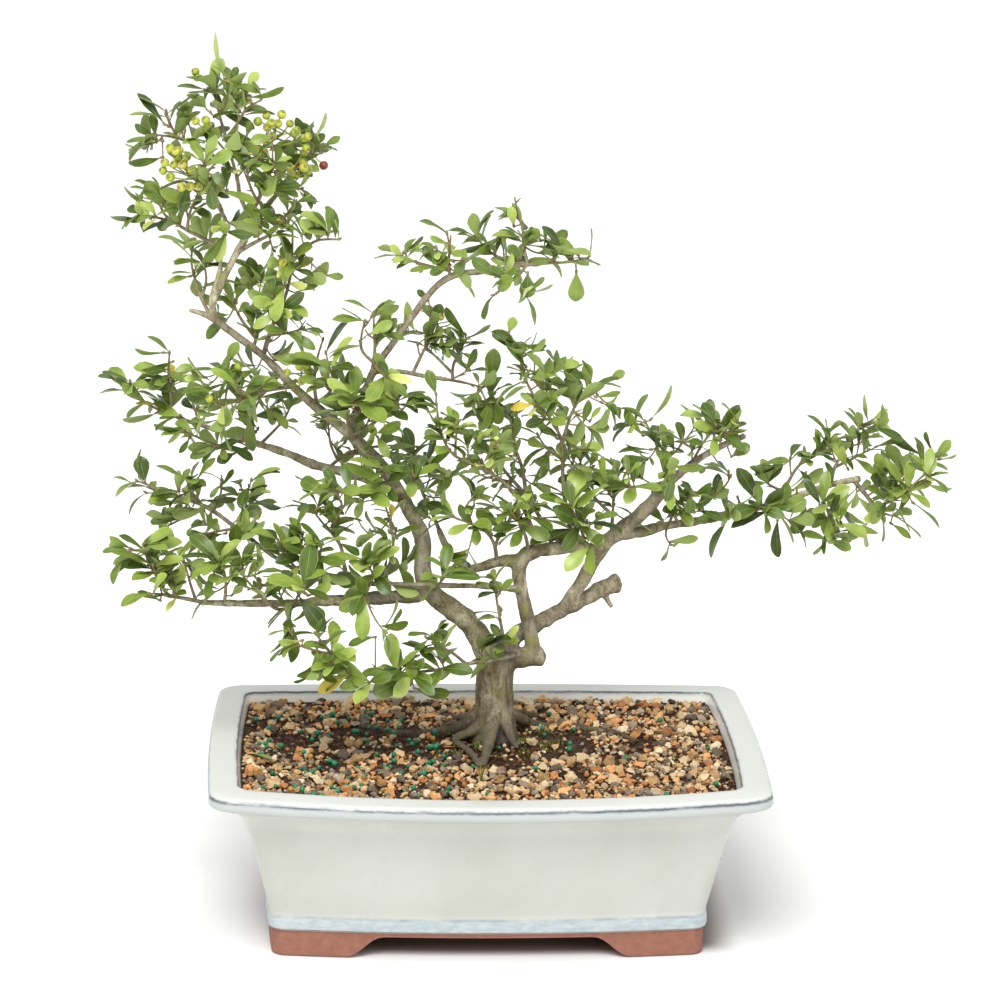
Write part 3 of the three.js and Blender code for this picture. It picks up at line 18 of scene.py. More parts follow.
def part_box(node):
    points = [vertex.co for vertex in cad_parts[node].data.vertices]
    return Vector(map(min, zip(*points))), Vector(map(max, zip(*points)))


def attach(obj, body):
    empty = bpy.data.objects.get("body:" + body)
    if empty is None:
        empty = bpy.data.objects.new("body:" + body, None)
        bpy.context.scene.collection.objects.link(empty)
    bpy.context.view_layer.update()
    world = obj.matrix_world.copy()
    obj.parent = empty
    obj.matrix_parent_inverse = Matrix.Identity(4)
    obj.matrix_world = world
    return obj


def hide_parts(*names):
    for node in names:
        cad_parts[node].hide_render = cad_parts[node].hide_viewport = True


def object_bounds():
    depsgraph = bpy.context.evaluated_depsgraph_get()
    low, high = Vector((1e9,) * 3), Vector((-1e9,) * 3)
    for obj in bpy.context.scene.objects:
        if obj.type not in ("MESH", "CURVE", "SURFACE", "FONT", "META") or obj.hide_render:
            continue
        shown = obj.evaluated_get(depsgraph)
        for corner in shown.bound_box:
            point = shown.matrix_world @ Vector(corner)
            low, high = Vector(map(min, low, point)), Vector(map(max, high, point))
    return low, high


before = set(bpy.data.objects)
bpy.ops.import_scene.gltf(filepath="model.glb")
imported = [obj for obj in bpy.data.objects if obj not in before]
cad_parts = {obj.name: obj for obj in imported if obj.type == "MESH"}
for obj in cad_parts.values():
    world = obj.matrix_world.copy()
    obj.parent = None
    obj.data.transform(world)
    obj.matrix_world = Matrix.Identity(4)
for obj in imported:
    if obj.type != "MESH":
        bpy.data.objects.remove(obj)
cad_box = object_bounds()

MM = 0.001

# Viewpoint, in millimetres from the middle of the pot's underside, and its angles in radians
VIEWER = np.array([-89.7, -2167.0, 749.5])
PITCH = 0.23062
YAW = 0.04446
ROLL = 0.01343
LENS = 144
SENSOR_WIDTH = 36
TRUNK_PLANE_Y = 15

# Pot, in millimetres
RIM_HALF_LENGTH = 155.5
BASE_HALF_LENGTH = 122
RIM_HALF_WIDTH = 122
BASE_HALF_WIDTH = 84
POT_HEIGHT = 102
OUTER_CORNER = 14
BASE_CORNER = 9
INNER_CORNER = 5
FLOOR_TOP = 20
FOOT_HEIGHT = 15
UNDERSIDE_HEIGHT = 13
FOOT_WALL = 11
LONG_BOW = 7
SHORT_BOW = 2.5
RIM_SAG = 2.6
RIM_SAG_SKEW = 1
LONG_ARCH_HALF = 82
SHORT_ARCH_HALF = 40
ARCH_HEIGHT = 12.5
ARCH_END = 25
DRAIN_RADIUS = 10
DRAIN_X = 55
ROLL_HEIGHT = 22.4

# Soil and what is strewn on it, in millimetres: gravel as least and largest radius and number of tries
SOIL_TOP = 96
SOIL_MOUND = 2.5
TRUNK_X = 6
SEAT_GAP = 0.3
SCREEN_RECESS = 33
SOIL_HALF_LENGTH = 137
SOIL_HALF_WIDTH = 103.5
STREWN_LENGTH = 138
STREWN_WIDTH = 105
ROCK_SHAPES = 9
GRAVEL_SIZES = ((2.7, 4.9, 1500), (1.7, 2.7, 5200), (0.95, 1.7, 8500))
GRAVEL_SHARES = (0.4, 0.61, 0.83)
CRUMB_TRIES = 5200
PELLET_TRIES = 135
PELLET_TURNS = np.arange(7) * 0.8976
MOSS_TRIES = 1900
# Fallen leaves: x, y, length, heading and 1 where the leaf is dry
FALLEN_LEAVES = [
    (-118, -32, 22, 2.3, 0), (-24, -10, 15, 0.4, 1), (-60, 38, 12, 1.2, 1), (92, 30, 13, 4.1, 1),
    (38, -70, 11, 5.2, 1), (-96, 60, 12, 2.9, 1), (70, 72, 12, 0.9, 1),
]

# Leaves and twigs, in millimetres; the leaf rule is the solids' own, so that leaves fall in the same places
LEAF_SHARE = 0.18
LEAF_THICKNESS = 0.45
LEAF_WIDTH = 0.46
LEAF_FOLD = 0.22
BERRY_RADIUS = 2.3
STALK_RADIUS = 0.55
TWIG_TIP_RADIUS = 0.5
LEAF_BALL = 0.75
BERRY_STEM_BALL = 0.5
WALK_STEP = 1.2
LEAF_STEP = 1.1
CROWD_GAP = 0.35
SHOOT_GAP = -0.4
CELL = 6
WOOD_VOXEL = 0.95
FLUTES_END = 260
SHOOT_SPACING = 17
BOX_MARGIN = 5
OPEN_RADIUS = 8
LEAF_STRETCH = 1.15
GOLDEN_ANGLE = 2.39996
GOLDEN_SHARE = 0.618034
UP = np.array([0, 0, 1.0])

# Tones that a finish reads off a face: a yellow leaf, and green stalks below 0
YELLOW_SHARE = 0.006
YELLOW_TONE = 1.5
STALK_TONE = -0.6
BERRY_STEM_TONE = -1
SEPAL_TONE = 0.1

# Light, in watts for the lamps, and the floor in metres
WORLD_LIGHT = 0.68
KEY_LIGHT = 62
FILL_LIGHT = 5
LIGHT_TARGET = (0, 0, 0.2)
FLOOR_SIZE = 60

pot_low, pot_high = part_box("pot")
POT_MIDDLE = np.array([(pot_low.x + pot_high.x) / 2, (pot_low.y + pot_high.y) / 2, pot_low.z])


def in_frame(points):
    """Millimetres from the middle of the pot's underside, to metres in the frame of the solids."""
    return np.asarray(points, float) * MM + POT_MIDDLE


def seen_at(x, z, depth):
    """A tree point read where it is seen on the trunk's plane, pushed back along the line of sight."""
    on_plane = np.array([x, TRUNK_PLANE_Y, z], float)
    reach = (TRUNK_PLANE_Y + depth - VIEWER[1]) / (TRUNK_PLANE_Y - VIEWER[1])
    return VIEWER + (on_plane - VIEWER) * reach


def seen_on_plane(point):
    """Where on the trunk's plane a point is seen, the other way round."""
    reach = (TRUNK_PLANE_Y - VIEWER[1]) / (point[1] - VIEWER[1])
    on_plane = VIEWER + (point - VIEWER) * reach
    return on_plane[0], on_plane[2]


def seeded_random(seed):
    """The solids' own random numbers, so that the same seed gives the same leaf."""
    whole = 0xFFFFFFFF
    state = seed & whole

    def draw():
        nonlocal state
        state = (state + 0x6D2B79F5) & whole
        mixed = ((state ^ (state >> 15)) * (1 | state)) & whole
        mixed = ((mixed + (((mixed ^ (mixed >> 7)) * (61 | mixed)) & whole)) & whole) ^ mixed
        return (mixed ^ (mixed >> 14)) / 4294967296

    return draw


def unit(vector):
    return vector / norm(vector)


def square_to(vector, axis):
    """The vector's unit direction once its share along the axis is taken off."""
    return unit(vector - axis * np.dot(vector, axis))


def turned_about(vector, axis, angle):
    return np.array(Matrix.Rotation(angle, 3, Vector(axis)) @ Vector(vector))


def any_direction(random):
    return np.array([random() - 0.5, random() - 0.5, random() - 0.5])


def smooth_step(value, low, high):
    share = np.clip((value - low) / (high - low), 0, 1)
    return share * share * (3 - 2 * share)


# Shader maths


class Value:
    """A shader socket that Python's own arithmetic works on."""

    def __init__(self, finish, socket):
        self.finish = finish
        self.socket = socket

    def maths(self, operation, *values):
        return self.finish.add("Math", {"operation": operation}, dict(enumerate(values)))

    def forward(self, operation, other):
        return self.maths(operation, self, other)

    def reflected(self, operation, other):
        return self.maths(operation, other, self)

    __add__, __radd__ = partialmethod(forward, "ADD"), partialmethod(reflected, "ADD")
    __sub__, __rsub__ = partialmethod(forward, "SUBTRACT"), partialmethod(reflected, "SUBTRACT")
    __mul__, __rmul__ = partialmethod(forward, "MULTIPLY"), partialmethod(reflected, "MULTIPLY")
    __truediv__ = partialmethod(forward, "DIVIDE")
    __pow__ = partialmethod(forward, "POWER")

    def size(self):
        return self.maths("ABSOLUTE", self)

    def between(self, low, high):
        """0 below low, 1 above high, smooth in between."""
        settings = {"interpolation_type": "SMOOTHSTEP"}
        return self.finish.add("MapRange", settings, {0: self, 1: low, 2: high})

    def near(self, middle, width):
        """1 at the middle, falling smoothly to 0 at the width's half on either side."""
        return 1 - (self - middle).size().between(0, width / 2)


def light_of(colour):
    """The linear light of a colour as read off a screen, 0 to 255. One of 0 to 1 is linear already."""
    if max(colour) <= 1:
        return colour
    return tuple(part / 255 / 12.92 if part < 11 else ((part / 255 + 0.055) / 1.055) ** 2.4
                 for part in colour)


class Finish:
    """A material built up from nodes."""

    def __init__(self, name, **constants):
        self.material = bpy.data.materials.new(name)
        self.material.use_nodes = True
        self.tree = self.material.node_tree
        self.shader = self.tree.nodes["Principled BSDF"]
        for socket, value in constants.items():
            self.set(self.shader.inputs[socket.replace("_", " ")], value)

    def set(self, socket, value):
        if isinstance(value, Value):
            self.tree.links.new(value.socket, socket)
        elif socket.type == "RGBA":
            socket.default_value = (*light_of(value), 1)
        else:
            socket.default_value = value

    def add(self, kind, settings=None, sockets=None, output=0):
        """One node: its settings come first, then what goes into its sockets. Gives its output."""
        node = self.tree.nodes.new("ShaderNode" + kind)
        for setting, value in (settings or {}).items():
            if setting == "stops":
                self.set_stops(node.color_ramp, value)
            else:
                setattr(node, setting, value)
        for socket, value in (sockets or {}).items():
            self.set(node.inputs[socket], value)
        return Value(self, node.outputs[output])

    def set_stops(self, ramp, stops):
        while len(ramp.elements) < len(stops):
            ramp.elements.new(1)
        for element, (place, colour) in zip(ramp.elements, stops):
            element.position = place
            element.color = (*light_of(colour), 1)

    def place(self):
        return self.add("TexCoord", output="Object")

    def attribute(self, name):
        return self.add("Attribute", {"attribute_name": name}, output="Fac")

    def axes(self, vector):
        return [self.add("SeparateXYZ", {}, {0: vector}, output=axis) for axis in range(3)]

    def uv(self):
        """Across and along the piece's own UV map."""
        return self.axes(self.add("UVMap", {"uv_map": "UVMap"}))[:2]

    def noise(self, place, per_mm, detail=3, roughness=0.55, distortion=0):
        sockets = {"Vector": place, "Scale": per_mm / MM, "Detail": detail, "Roughness": roughness,
                   "Distortion": distortion}
        return self.add("TexNoise", {}, sockets)

    def cells(self, place, per_mm):
        return self.add("TexVoronoi", {}, {"Vector": place, "Scale": per_mm / MM}, "Distance")

    def mix(self, factor, first, second):
        return self.add("Mix", {"data_type": "RGBA"}, {0: factor, 6: first, 7: second}, 2)

    def coats(self, colour, *coats):
        """Lays coats over a colour; each is how much of it shows, and its own colour."""
        for factor, coat in coats:
            colour = self.mix(factor, colour, coat)
        return colour

    def ramp(self, factor, stops):
        return self.add("ValToRGB", {"stops": stops}, {0: factor})

    def stretched(self, place, scale):
        return self.add("Mapping", {}, {"Vector": place, "Scale": scale})

    def finish(self, colour, roughness=None, height=None, bump_mm=0.2, strength=1):
        self.set(self.shader.inputs["Base Color"], colour)
        if roughness is not None:
            self.set(self.shader.inputs["Roughness"], roughness)
        if height is not None:
            sockets = {"Strength": strength, "Distance": bump_mm * MM, "Height": height}
            self.set(self.shader.inputs["Normal"], self.add("Bump", {}, sockets))
        return self.material

# Trunk, limbs and roots: x, z, depth and radius at each point, from the base outwards.
LIMBS = {
    "trunk": [(6, 84, 0, 9), (6, 96, 0, 14.5), (6, 103, 0, 13), (6, 113, 0, 10.6), (5.5, 124, 0, 10.6),
        (5.5, 134, 0, 10.6), (7, 142, 0, 11), (8, 149, 0, 9)],
    "left_limb": [(5, 138, 0, 9), (1, 150, 0, 7.6), (-5, 160, -1, 6.5), (-12, 168, -2, 6), (-20, 174, -4, 5.8),
        (-29, 181, -6, 5.5), (-35, 188, -7, 5.2), (-36, 198, -6, 4.8), (-35, 208, -4, 4.6), (-37, 219, -1, 4.4),
        (-46, 236, 4, 4), (-57, 254, 8, 3.8), (-68, 266, 11, 3.5), (-79, 276, 14, 3.4), (-94, 288, 16, 2.8),
        (-110, 302, 17, 2.5), (-124, 318, 18, 2.3), (-142, 331, 18, 2.2), (-152, 339, 18, 2.3),
        (-158, 342, 18, 1.9), (-166, 344, 18, 1.2)],
    "low_limb": [(-33, 184, -6, 4.6), (-41, 181, -10, 4.1), (-55, 180, -14, 3.8), (-67, 179.5, -18, 3.6),
        (-80, 178.5, -22, 3.4), (-91, 178, -26, 3.2), (-107, 176.5, -30, 2.4), (-126, 176.5, -34, 2.1),
        (-146, 176.5, -38, 1.9), (-161, 177, -40, 1.7)],
    "thin_limb": [(19, 185, 0, 2.6), (9, 186, -5, 1.9), (-5, 187, -10, 1.7), (-20, 187, -14, 1.7),
        (-37, 187.5, -17, 1.6), (-57, 188, -19, 1.6), (-77, 188, -17, 1.6), (-95, 189.5, -11, 1.5),
        (-108, 196, -4, 1.5), (-120, 204, 0, 1.5), (-134, 215, 4, 1.5), (-151, 228.5, 8, 1.4)],
    "back_limb": [(-47, 238, 5, 3.1), (-60, 246, 17, 2.9), (-74, 251, 27, 2.8), (-87, 254, 35, 2.8),
        (-99, 257, 42, 2.7), (-111, 263, 48, 2.5), (-124, 267, 52, 2.2), (-136, 271, 56, 2.1),
        (-147, 274.5, 59, 1.9), (-158, 278.5, 62, 1.6)],
    "crown_stem": [(-151, 338, 18, 2.3), (-154, 347, 18, 2.1), (-152, 356, 18, 1.9), (-149, 366, 18, 1.5),
        (-148, 377, 17, 1.2), (-146, 388, 16, 1.1), (-147, 399, 15, 1), (-151, 408, 14, 0.9)],
    "crown_leader": [(-154, 346, 18, 2), (-150, 354, 19, 2), (-146, 364, 20, 2), (-141, 374, 21, 2.2),
        (-135, 384, 22, 2.3), (-132, 392, 22, 1.9), (-134, 399, 22, 1.5), (-138, 407, 21, 1.3),
        (-139, 416, 20, 1.3), (-141, 424, 19, 1.2), (-144, 434, 18, 1.1)],
    "top_limb": [(-78, 274, 13, 3.2), (-74, 285, 6, 2.7), (-69, 297, 0, 2.4), (-64, 311, -6, 2.2),
        (-54, 325, -10, 2.1), (-45, 338, -13, 2), (-32, 356, -17, 2), (-23, 363.5, -18, 2.1),
        (-13, 366, -18, 2), (-3, 366.5, -18, 1.8), (9, 368.5, -17, 1.4), (20, 370.5, -16, 1.2)],
    "cross_limb": [(-63, 310, -6, 1.8), (-48, 310, -2, 1.5), (-37, 307.5, 3, 1.5), (-23, 305.5, 8, 1.4)],
    "burl": [(10, 145, 0, 8), (20, 145, 2, 6.2), (28, 146, 3, 6.1), (33, 146, 3, 4.8)],
    "mid_limb": [(27, 146, 3, 5.2), (27, 154, 3, 4.4), (25, 163, 3, 4.1), (22.5, 175, 3, 3.9),
        (19.5, 186, 3, 4.1), (18, 196, 3, 4.2), (19.5, 203, 4, 4.4), (24, 206.5, 5, 4.5), (32, 208, 7, 4.2),
        (41, 209, 9, 3.9), (50, 210, 11, 3.6), (61, 208, 12, 3.2)],
    "curved_limb": [(18, 201.5, 4, 4), (10, 202, 5, 3.4), (0, 199, 6, 3), (-7, 196.5, 7, 2.6),
        (-13, 198, 8, 2.3), (-19, 204, 10, 2.2), (-24, 212, 12, 2.1), (-27, 220, 14, 1.9)],
    "right_limb": [(9, 146, 4, 7), (16, 158, 9, 5), (24, 162, 12, 4.7), (33, 167, 13, 4.6),
        (41.5, 172, 13, 4.6), (47, 177, 13, 4.6), (52, 186, 12, 4), (57, 195, 12, 3.9), (62, 205, 12, 4.2),
        (68, 213, 11, 4.6), (77, 220.5, 9, 4.6), (87, 229, 7, 4.3), (96, 239, 5, 3.8), (103, 248, 3, 3),
        (111, 255, 1, 2.4)],
    "stub": [(46, 175, 13, 4.5), (55, 179, 16, 4.5), (62, 183.5, 20, 4.6), (69, 187.5, 23, 5.2),
        (73, 188.5, 25, 4.2)],
    "stub_nub": [(67, 182, 22, 2), (71, 175.5, 22, 1.4)],
    "far_limb": [(75, 217, 10, 3.8), (86, 218, 18, 3.3), (101, 222.5, 26, 2.7), (121, 225, 34, 2.5),
        (140, 230, 40, 2.3), (162, 234.5, 46, 2.1), (179, 241, 50, 2), (190, 245, 52, 2), (200, 248, 54, 1.9),
        (209, 249.5, 55, 2)],
    "left_root": [(2, 112, 0, 5.5), (-8, 107, 2, 4.1), (-16, 103, 8, 3.5), (-25, 100.5, 13, 3),
        (-35, 100, 14, 2.7), (-47, 99.5, 12, 2.6), (-62, 103, 27, 2.3), (-77, 106, 40, 1.6)],
    "loop_root": [(0, 105, -6, 4.2), (-10, 100, -8, 2.8), (-18, 97, -6, 2.2), (-13, 93, -18, 2.1),
        (-6, 88, -38, 2), (-3, 81, -68, 1.3)],
    "front_root": [(6, 112, -7, 5), (4, 103, -16, 4.2), (3, 96, -26, 3.6), (2, 90, -38, 3), (0, 82, -66, 1.8)],
    "right_front_root": [(11, 110, -7, 4), (14, 102, -14, 3), (16, 96, -18, 2.2), (19, 92, -28, 1.5)],
    "right_root": [(12, 113, 4, 5), (20, 109, 14, 3.4), (28, 105.5, 26, 2.8), (37, 104, 30, 2.4),
        (47, 105, 34, 2.4), (58, 103, 26, 2.4), (69, 101.5, 20, 2.1), (79, 99.5, 12, 1.9), (86, 96, -2, 1.3)],
    "back_left_root": [(3, 111, 6, 4.6), (-7, 110, 24, 3.4), (-16, 109, 44, 2.6), (-25, 111, 62, 1.6)],
    "back_right_root": [(9, 111, 8, 4.6), (19, 112, 34, 3), (29, 110, 54, 2.2), (38, 112, 66, 1.5)],
}

# Leafy branchlets: each twig has the number of leaves, their length and its path of x, z and depth.
SPRAYS = {
    "crown_top": [(9, 15, [(-143.5, 433, 18), (-147, 445, 19), (-150, 456, 20), (-151, 468, 21)]),
        (6, 20, [(-149, 453, 20), (-144, 461, 15), (-143, 470, 12)]), (8, 15, [(-145.5, 439, 18.5),
        (-139, 448, 12), (-135, 456, 9), (-126, 461, 6)])],
    "crown_left": [(12, 17, [(-140.5, 421, 19.5), (-152, 430, 24), (-166, 438, 29), (-178, 441, 33),
        (-187, 441, 35)]), (4, 18, [(-172, 440, 31), (-176, 447, 27), (-178, 454, 24)])],
    "crown_left_low": [(8, 16, [(-148.5, 378, 17), (-156, 383, 22), (-166, 388, 27), (-176, 394, 30),
        (-181, 399, 32), (-184, 411, 33)]), (4, 15, [(-176, 394, 30), (-186, 396, 28), (-193, 397, 27)]),
        (7, 15, [(-167, 388.5, 27), (-166, 397, 22), (-163, 405, 18), (-158, 410, 16)])],
    "crown_front": [(9, 15, [(-146, 395, 15), (-152, 406, 6), (-155, 417, -2), (-158, 427, -8)])],
    "crown_middle": [(9, 15, [(-134, 397, 22), (-128, 404, 12), (-124, 415, 4), (-120, 428, -2)]),
        (5, 15, [(-128, 404, 12), (-133, 414, 2), (-134, 423, -4)])],
    "crown_right": [(13, 15, [(-134, 388, 22), (-126, 398, 30), (-118, 408, 36), (-110, 420, 40),
        (-102, 430, 44), (-95, 436, 46)]), (4, 14, [(-118, 408, 36), (-110, 412, 30), (-104, 412, 26)])],
    "crown_right_low": [(9, 14, [(-140, 376, 21), (-130, 382, 12), (-120, 387, 8), (-113, 397, 3),
        (-107, 405, 0)])],
    "crown_stem": [(14, 15, [(-125, 319, 18), (-122, 330, 11), (-118, 341, 7), (-113, 351, 4), (-110, 363, 2),
        (-109, 378, 0), (-109, 391, -2)]), (6, 15, [(-109.5, 371, 1), (-101, 380, -6), (-95, 384, -10),
        (-83, 384, -16)]), (7, 14, [(-122, 330, 11), (-112, 331, 4), (-103, 334, 0)])],
    "crown_inside": [(8, 16, [(-131, 322, 18), (-127, 334, 25), (-128, 346, 31), (-133, 357, 34)]),
        (6, 15, [(-129, 328, 21), (-137, 338, 28), (-141, 346, 34), (-143, 354, 38)])],
    "crown_stub": [(9, 16, [(-155, 342, 18), (-160, 352, 24), (-163, 362, 30), (-165, 371, 34),
        (-164, 379, 36)]), (5, 13, [(-159, 351, 23.5), (-156, 361, 28), (-158, 371, 24)])],
    "back_tip": [(10, 16, [(-155, 277.5, 61), (-167, 281, 64), (-181, 286.5, 66), (-192, 292, 67),
        (-200, 299, 66)]), (12, 15, [(-177, 285, 65.5), (-176, 296, 60), (-178, 307, 56), (-177, 320, 54)]),
        (6, 14, [(-161, 279, 62.5), (-163, 288, 68), (-166, 295, 72)])],
    "middle_left": [(13, 16, [(-109, 301, 17), (-118, 300, 7), (-130, 297, -1), (-140, 292, -7),
        (-151, 290, -11)]), (8, 16, [(-136, 294, -5), (-144, 300, 0), (-148, 310, 4)])],
    "back_low": [(9, 15, [(-129, 268.5, 54), (-138, 264, 44), (-148, 266, 37), (-158, 270, 32),
        (-166, 274, 30)]), (8, 16, [(-131, 267.5, 51), (-132, 279, 40), (-130, 288, 32), (-126, 296, 28)]),
        (6, 12, [(-127, 268, 53), (-119, 276, 58), (-113, 283, 60), (-110, 290, 60)])],
    "back_inner": [(9, 14, [(-89, 254.5, 36), (-82, 261, 42), (-70, 266, 46), (-58, 268, 48)]),
        (5, 12, [(-84, 260, 41), (-88, 268, 48), (-89, 280, 54)])],
    "top_low": [(11, 16, [(-65, 308, -4), (-63, 322, -12), (-64, 333, -17), (-64, 343, -20)]),
        (7, 15, [(-64, 315, -8), (-71, 321, -4), (-71, 330, 0), (-69, 338, 2)]), (5, 17, [(-64, 314, -7.5),
        (-60, 309, -18), (-56, 306, -24)])],
    "inner_left": [(8, 13, [(-95, 289, 16), (-97, 301, 24), (-96, 315, 31), (-92, 328, 34)]),
        (9, 19, [(-95.5, 292, 18), (-88, 297, 4), (-86, 305, -8), (-89, 313, -14)])],
    "inner_front": [(8, 21, [(-73, 270, 12), (-79, 282, -2), (-79, 290, -12), (-73, 295, -20)]),
        (10, 17, [(-75, 274, 7), (-64, 280, -2), (-56, 287, -10), (-50, 294, -14)])],
    "cross_up": [(11, 14, [(-42, 309, 1), (-38, 318, 7), (-33, 328, 11), (-29, 338, 13)])],
    "cross_tip": [(5, 14, [(-26, 306, 6.5), (-14, 304, 11), (-3, 301, 14)]), (10, 13, [(-20, 305, 9),
        (-20, 314, 16), (-16, 321, 20), (-13, 328, 22)]), (5, 12, [(-20, 309, 12), (-28, 317, 20),
        (-35, 324, 25)])],
    "low_left_shoots": [(13, 15, [(-149, 227, 7.7), (-158, 233, 10), (-167, 236, 12), (-177, 240, 14),
        (-187, 244, 16), (-196, 247, 17)]), (8, 15, [(-160, 233.5, 10.5), (-166, 240, 3), (-168, 248, -2)]),
        (7, 15, [(-153, 229.5, 8.8), (-149, 238, 15), (-148, 247, 20)]), (6, 15, [(-157, 232.5, 10),
        (-166, 228, 18), (-175, 223, 24), (-181, 220, 28)])],
    "upright_left": [(9, 17, [(-134, 215, 4), (-133, 225, 10), (-135, 236, 15), (-138, 245, 18)])],
    "low_left_inner": [(7, 17, [(-143, 222, 6), (-143, 213, -5), (-141, 206, -12)]),
        (6, 15, [(-143, 219.5, 2.5), (-152, 218, -5), (-159, 216, -10)])],
    "low_tip": [(12, 17, [(-159, 177, -39.5), (-170, 179.5, -42), (-179, 180.5, -42), (-184, 190, -42),
        (-189, 199, -43), (-192, 207, -45)]), (4, 13, [(-177, 180, -42), (-184, 182, -50), (-189, 182, -55)]),
        (5, 14, [(-163, 178, -40), (-166, 187, -34), (-170, 203, -28)])],
    "low_spur": [(9, 17, [(-147, 177, -38), (-146, 187, -46), (-147, 196, -52), (-151, 202, -56)])],
    "low_front": [(9, 14, [(-104, 177, -29), (-112, 173, -38), (-119, 173, -45), (-126, 180, -50),
        (-132, 187, -53), (-138, 194, -55)]), (7, 21, [(-108, 174.5, -34), (-106, 181, -44),
        (-102, 186, -50)])],
    "thin_limb_front": [(7, 18, [(-105, 194.5, -5.5), (-112, 203, -15), (-117, 213, -21)]),
        (6, 14, [(-110, 200, -12), (-104, 208, -15), (-103, 217, -16)]), (7, 17, [(-107, 197, -9),
        (-99, 199, -22), (-94, 204, -28), (-92, 211, -31)])],
    "thin_limb_upright": [(10, 15, [(-77, 188, -17), (-80, 199, -10), (-81, 209, -5), (-86, 216, -2),
        (-92, 223, 2), (-98, 231, 5)]), (6, 13, [(-86, 216, -2), (-85, 225, -10), (-79, 234, -14)])],
    "thin_limb_inner": [(9, 18, [(-58, 188, -19), (-64, 194, -25), (-67.5, 201.5, -29)]),
        (9, 14, [(-60, 190, -21.5), (-53, 200, -14), (-52, 214, -10), (-55, 228, -8), (-58, 236, -7)]),
        (3, 19, [(-63, 193, -24), (-66, 185, -32), (-68, 180, -36)])],
    "left_limb_front": [(10, 15, [(-45.5, 235, 4), (-55, 238, -7), (-70, 240, -14), (-83, 241, -18),
        (-92, 241, -20)]), (8, 18, [(-52, 237.5, -4.5), (-56, 246, -12), (-59, 254, -17)]),
        (7, 16, [(-49, 236, 0), (-43, 243, -10), (-41, 250, -16)])],
    "curved_limb_up": [(12, 17, [(-26.5, 219, 14), (-30, 228, 17), (-36, 240, 19), (-40, 251, 21),
        (-41, 263, 23)])],
    "centre_low": [(11, 16, [(6, 201, 5.5), (5, 211, -3), (0, 219, -8), (-9, 223, -12), (-19, 227, -16)]),
        (5, 14, [(-9, 223, -12), (-13, 232, -12), (-7, 239, -10)]), (7, 15, [(5, 211, -3), (10, 220, 4),
        (11, 229, 8)])],
    "centre_arch": [(14, 15, [(28, 207.5, 6), (26, 220, -2), (20, 234, -9), (12, 245, -14), (1, 253, -18),
        (-10, 258, -22), (-21, 263, -26), (-27, 277, -28), (-29, 293, -30)]), (5, 13, [(-18, 261.5, -25),
        (-18, 270, -30), (-17, 279, -33)]), (6, 13, [(2, 252.5, -18), (2, 262, -22), (6, 270, -24)])],
    "centre_upright": [(15, 14, [(38, 208.7, 8), (32, 224, 18), (20, 242, 22), (8, 255, 22), (3, 266, 22),
        (1, 281, 21), (2, 299, 20)]), (11, 15, [(22, 239, 21.5), (20, 255, 30), (14, 270, 34), (14, 286, 36)])],
    "right_upright": [(18, 16, [(49, 210, 10.5), (46, 225, 1), (43, 241, -5), (42, 257, -8), (42, 270, -10),
        (37, 281, -12), (29, 291, -14), (22, 302, -16), (18, 314, -18), (16, 324, -20)]),
        (9, 15, [(42, 270, -10), (46, 286, -8), (52, 296, -6), (57, 303, -4)]), (6, 15, [(42, 260, -8.5),
        (33, 266, -4), (28, 274, 0)])],
    "right_fork": [(10, 16, [(70, 214.5, 10.6), (71, 228, 19), (71, 240, 24), (73, 254, 27)]),
        (9, 15, [(71, 228, 19), (60, 238, 22), (54, 249, 23), (52, 260, 24)])],
    "right_front": [(9, 15, [(103, 248, 3), (90, 245, -8), (76, 244, -16), (66, 245, -20)]),
        (9, 15, [(101, 247.6, 1), (97, 262, -2), (93, 273, 0), (88, 282, 2)]), (6, 14, [(98, 259, -1),
        (106, 265, -8), (110, 271, -12)])],
    "fork_front": [(9, 19, [(56, 209.5, 12), (54, 219, -4), (50, 227, -13), (47, 234, -19)]),
        (4, 17, [(55, 215, 2), (60, 214, -8), (58, 210, -14)])],
    "centre_front": [(9, 16, [(24, 206.5, 5), (22, 217, -8), (17, 226, -17), (12, 232, -22)])],
    "right_cut_limb": [(0, 14, [(109, 253.5, 1.5), (118, 260.5, -1), (128, 266.5, -3), (137, 271, -5),
        (144, 274, -6)]), (7, 15, [(115, 258.5, 0), (119, 267, 8), (124, 275, 14)]),
        (6, 16, [(126, 265.5, -2.5), (127, 275, -10), (126, 284, -14)]), (5, 15, [(134, 269.5, -4.5),
        (137, 277, -12), (140, 282, -16)])],
    "far_low": [(9, 14, [(108, 223.5, 29), (104, 231, 20), (109, 236, 14), (116, 241, 10)]),
        (9, 14, [(106, 228, 24), (116, 232, 22), (126, 238, 20), (134, 245, 18), (137, 251, 16)]),
        (3, 13, [(105, 229, 23), (100, 217, 14), (104, 211, 10)])],
    "far_middle": [(6, 19, [(143, 231, 41), (153, 235, 34), (163, 232, 29)]), (4, 19, [(149, 233.5, 37),
        (143, 230, 30), (136, 226, 26)])],
    "far_upright": [(11, 14, [(164, 235, 46.5), (169, 247, 50), (175, 258, 53), (184, 263, 55),
        (192, 269, 56)]), (6, 14, [(167, 242, 48.7), (158, 246, 44), (153, 252, 41)])],
    "far_hanging": [(12, 18, [(186, 243.5, 51.3), (190, 236, 42), (194, 226, 36), (195, 216, 33)])],
    "far_tall": [(13, 14, [(193, 246, 52.5), (195, 256, 57), (201, 267, 61), (206, 274, 63), (209, 281, 64)]),
        (7, 15, [(195, 256, 57), (205, 261, 64), (214, 266, 68)])],
    "far_tip": [(13, 16, [(206, 249, 55), (213, 241, 54), (219, 233, 53), (231, 238, 49), (241, 245, 45),
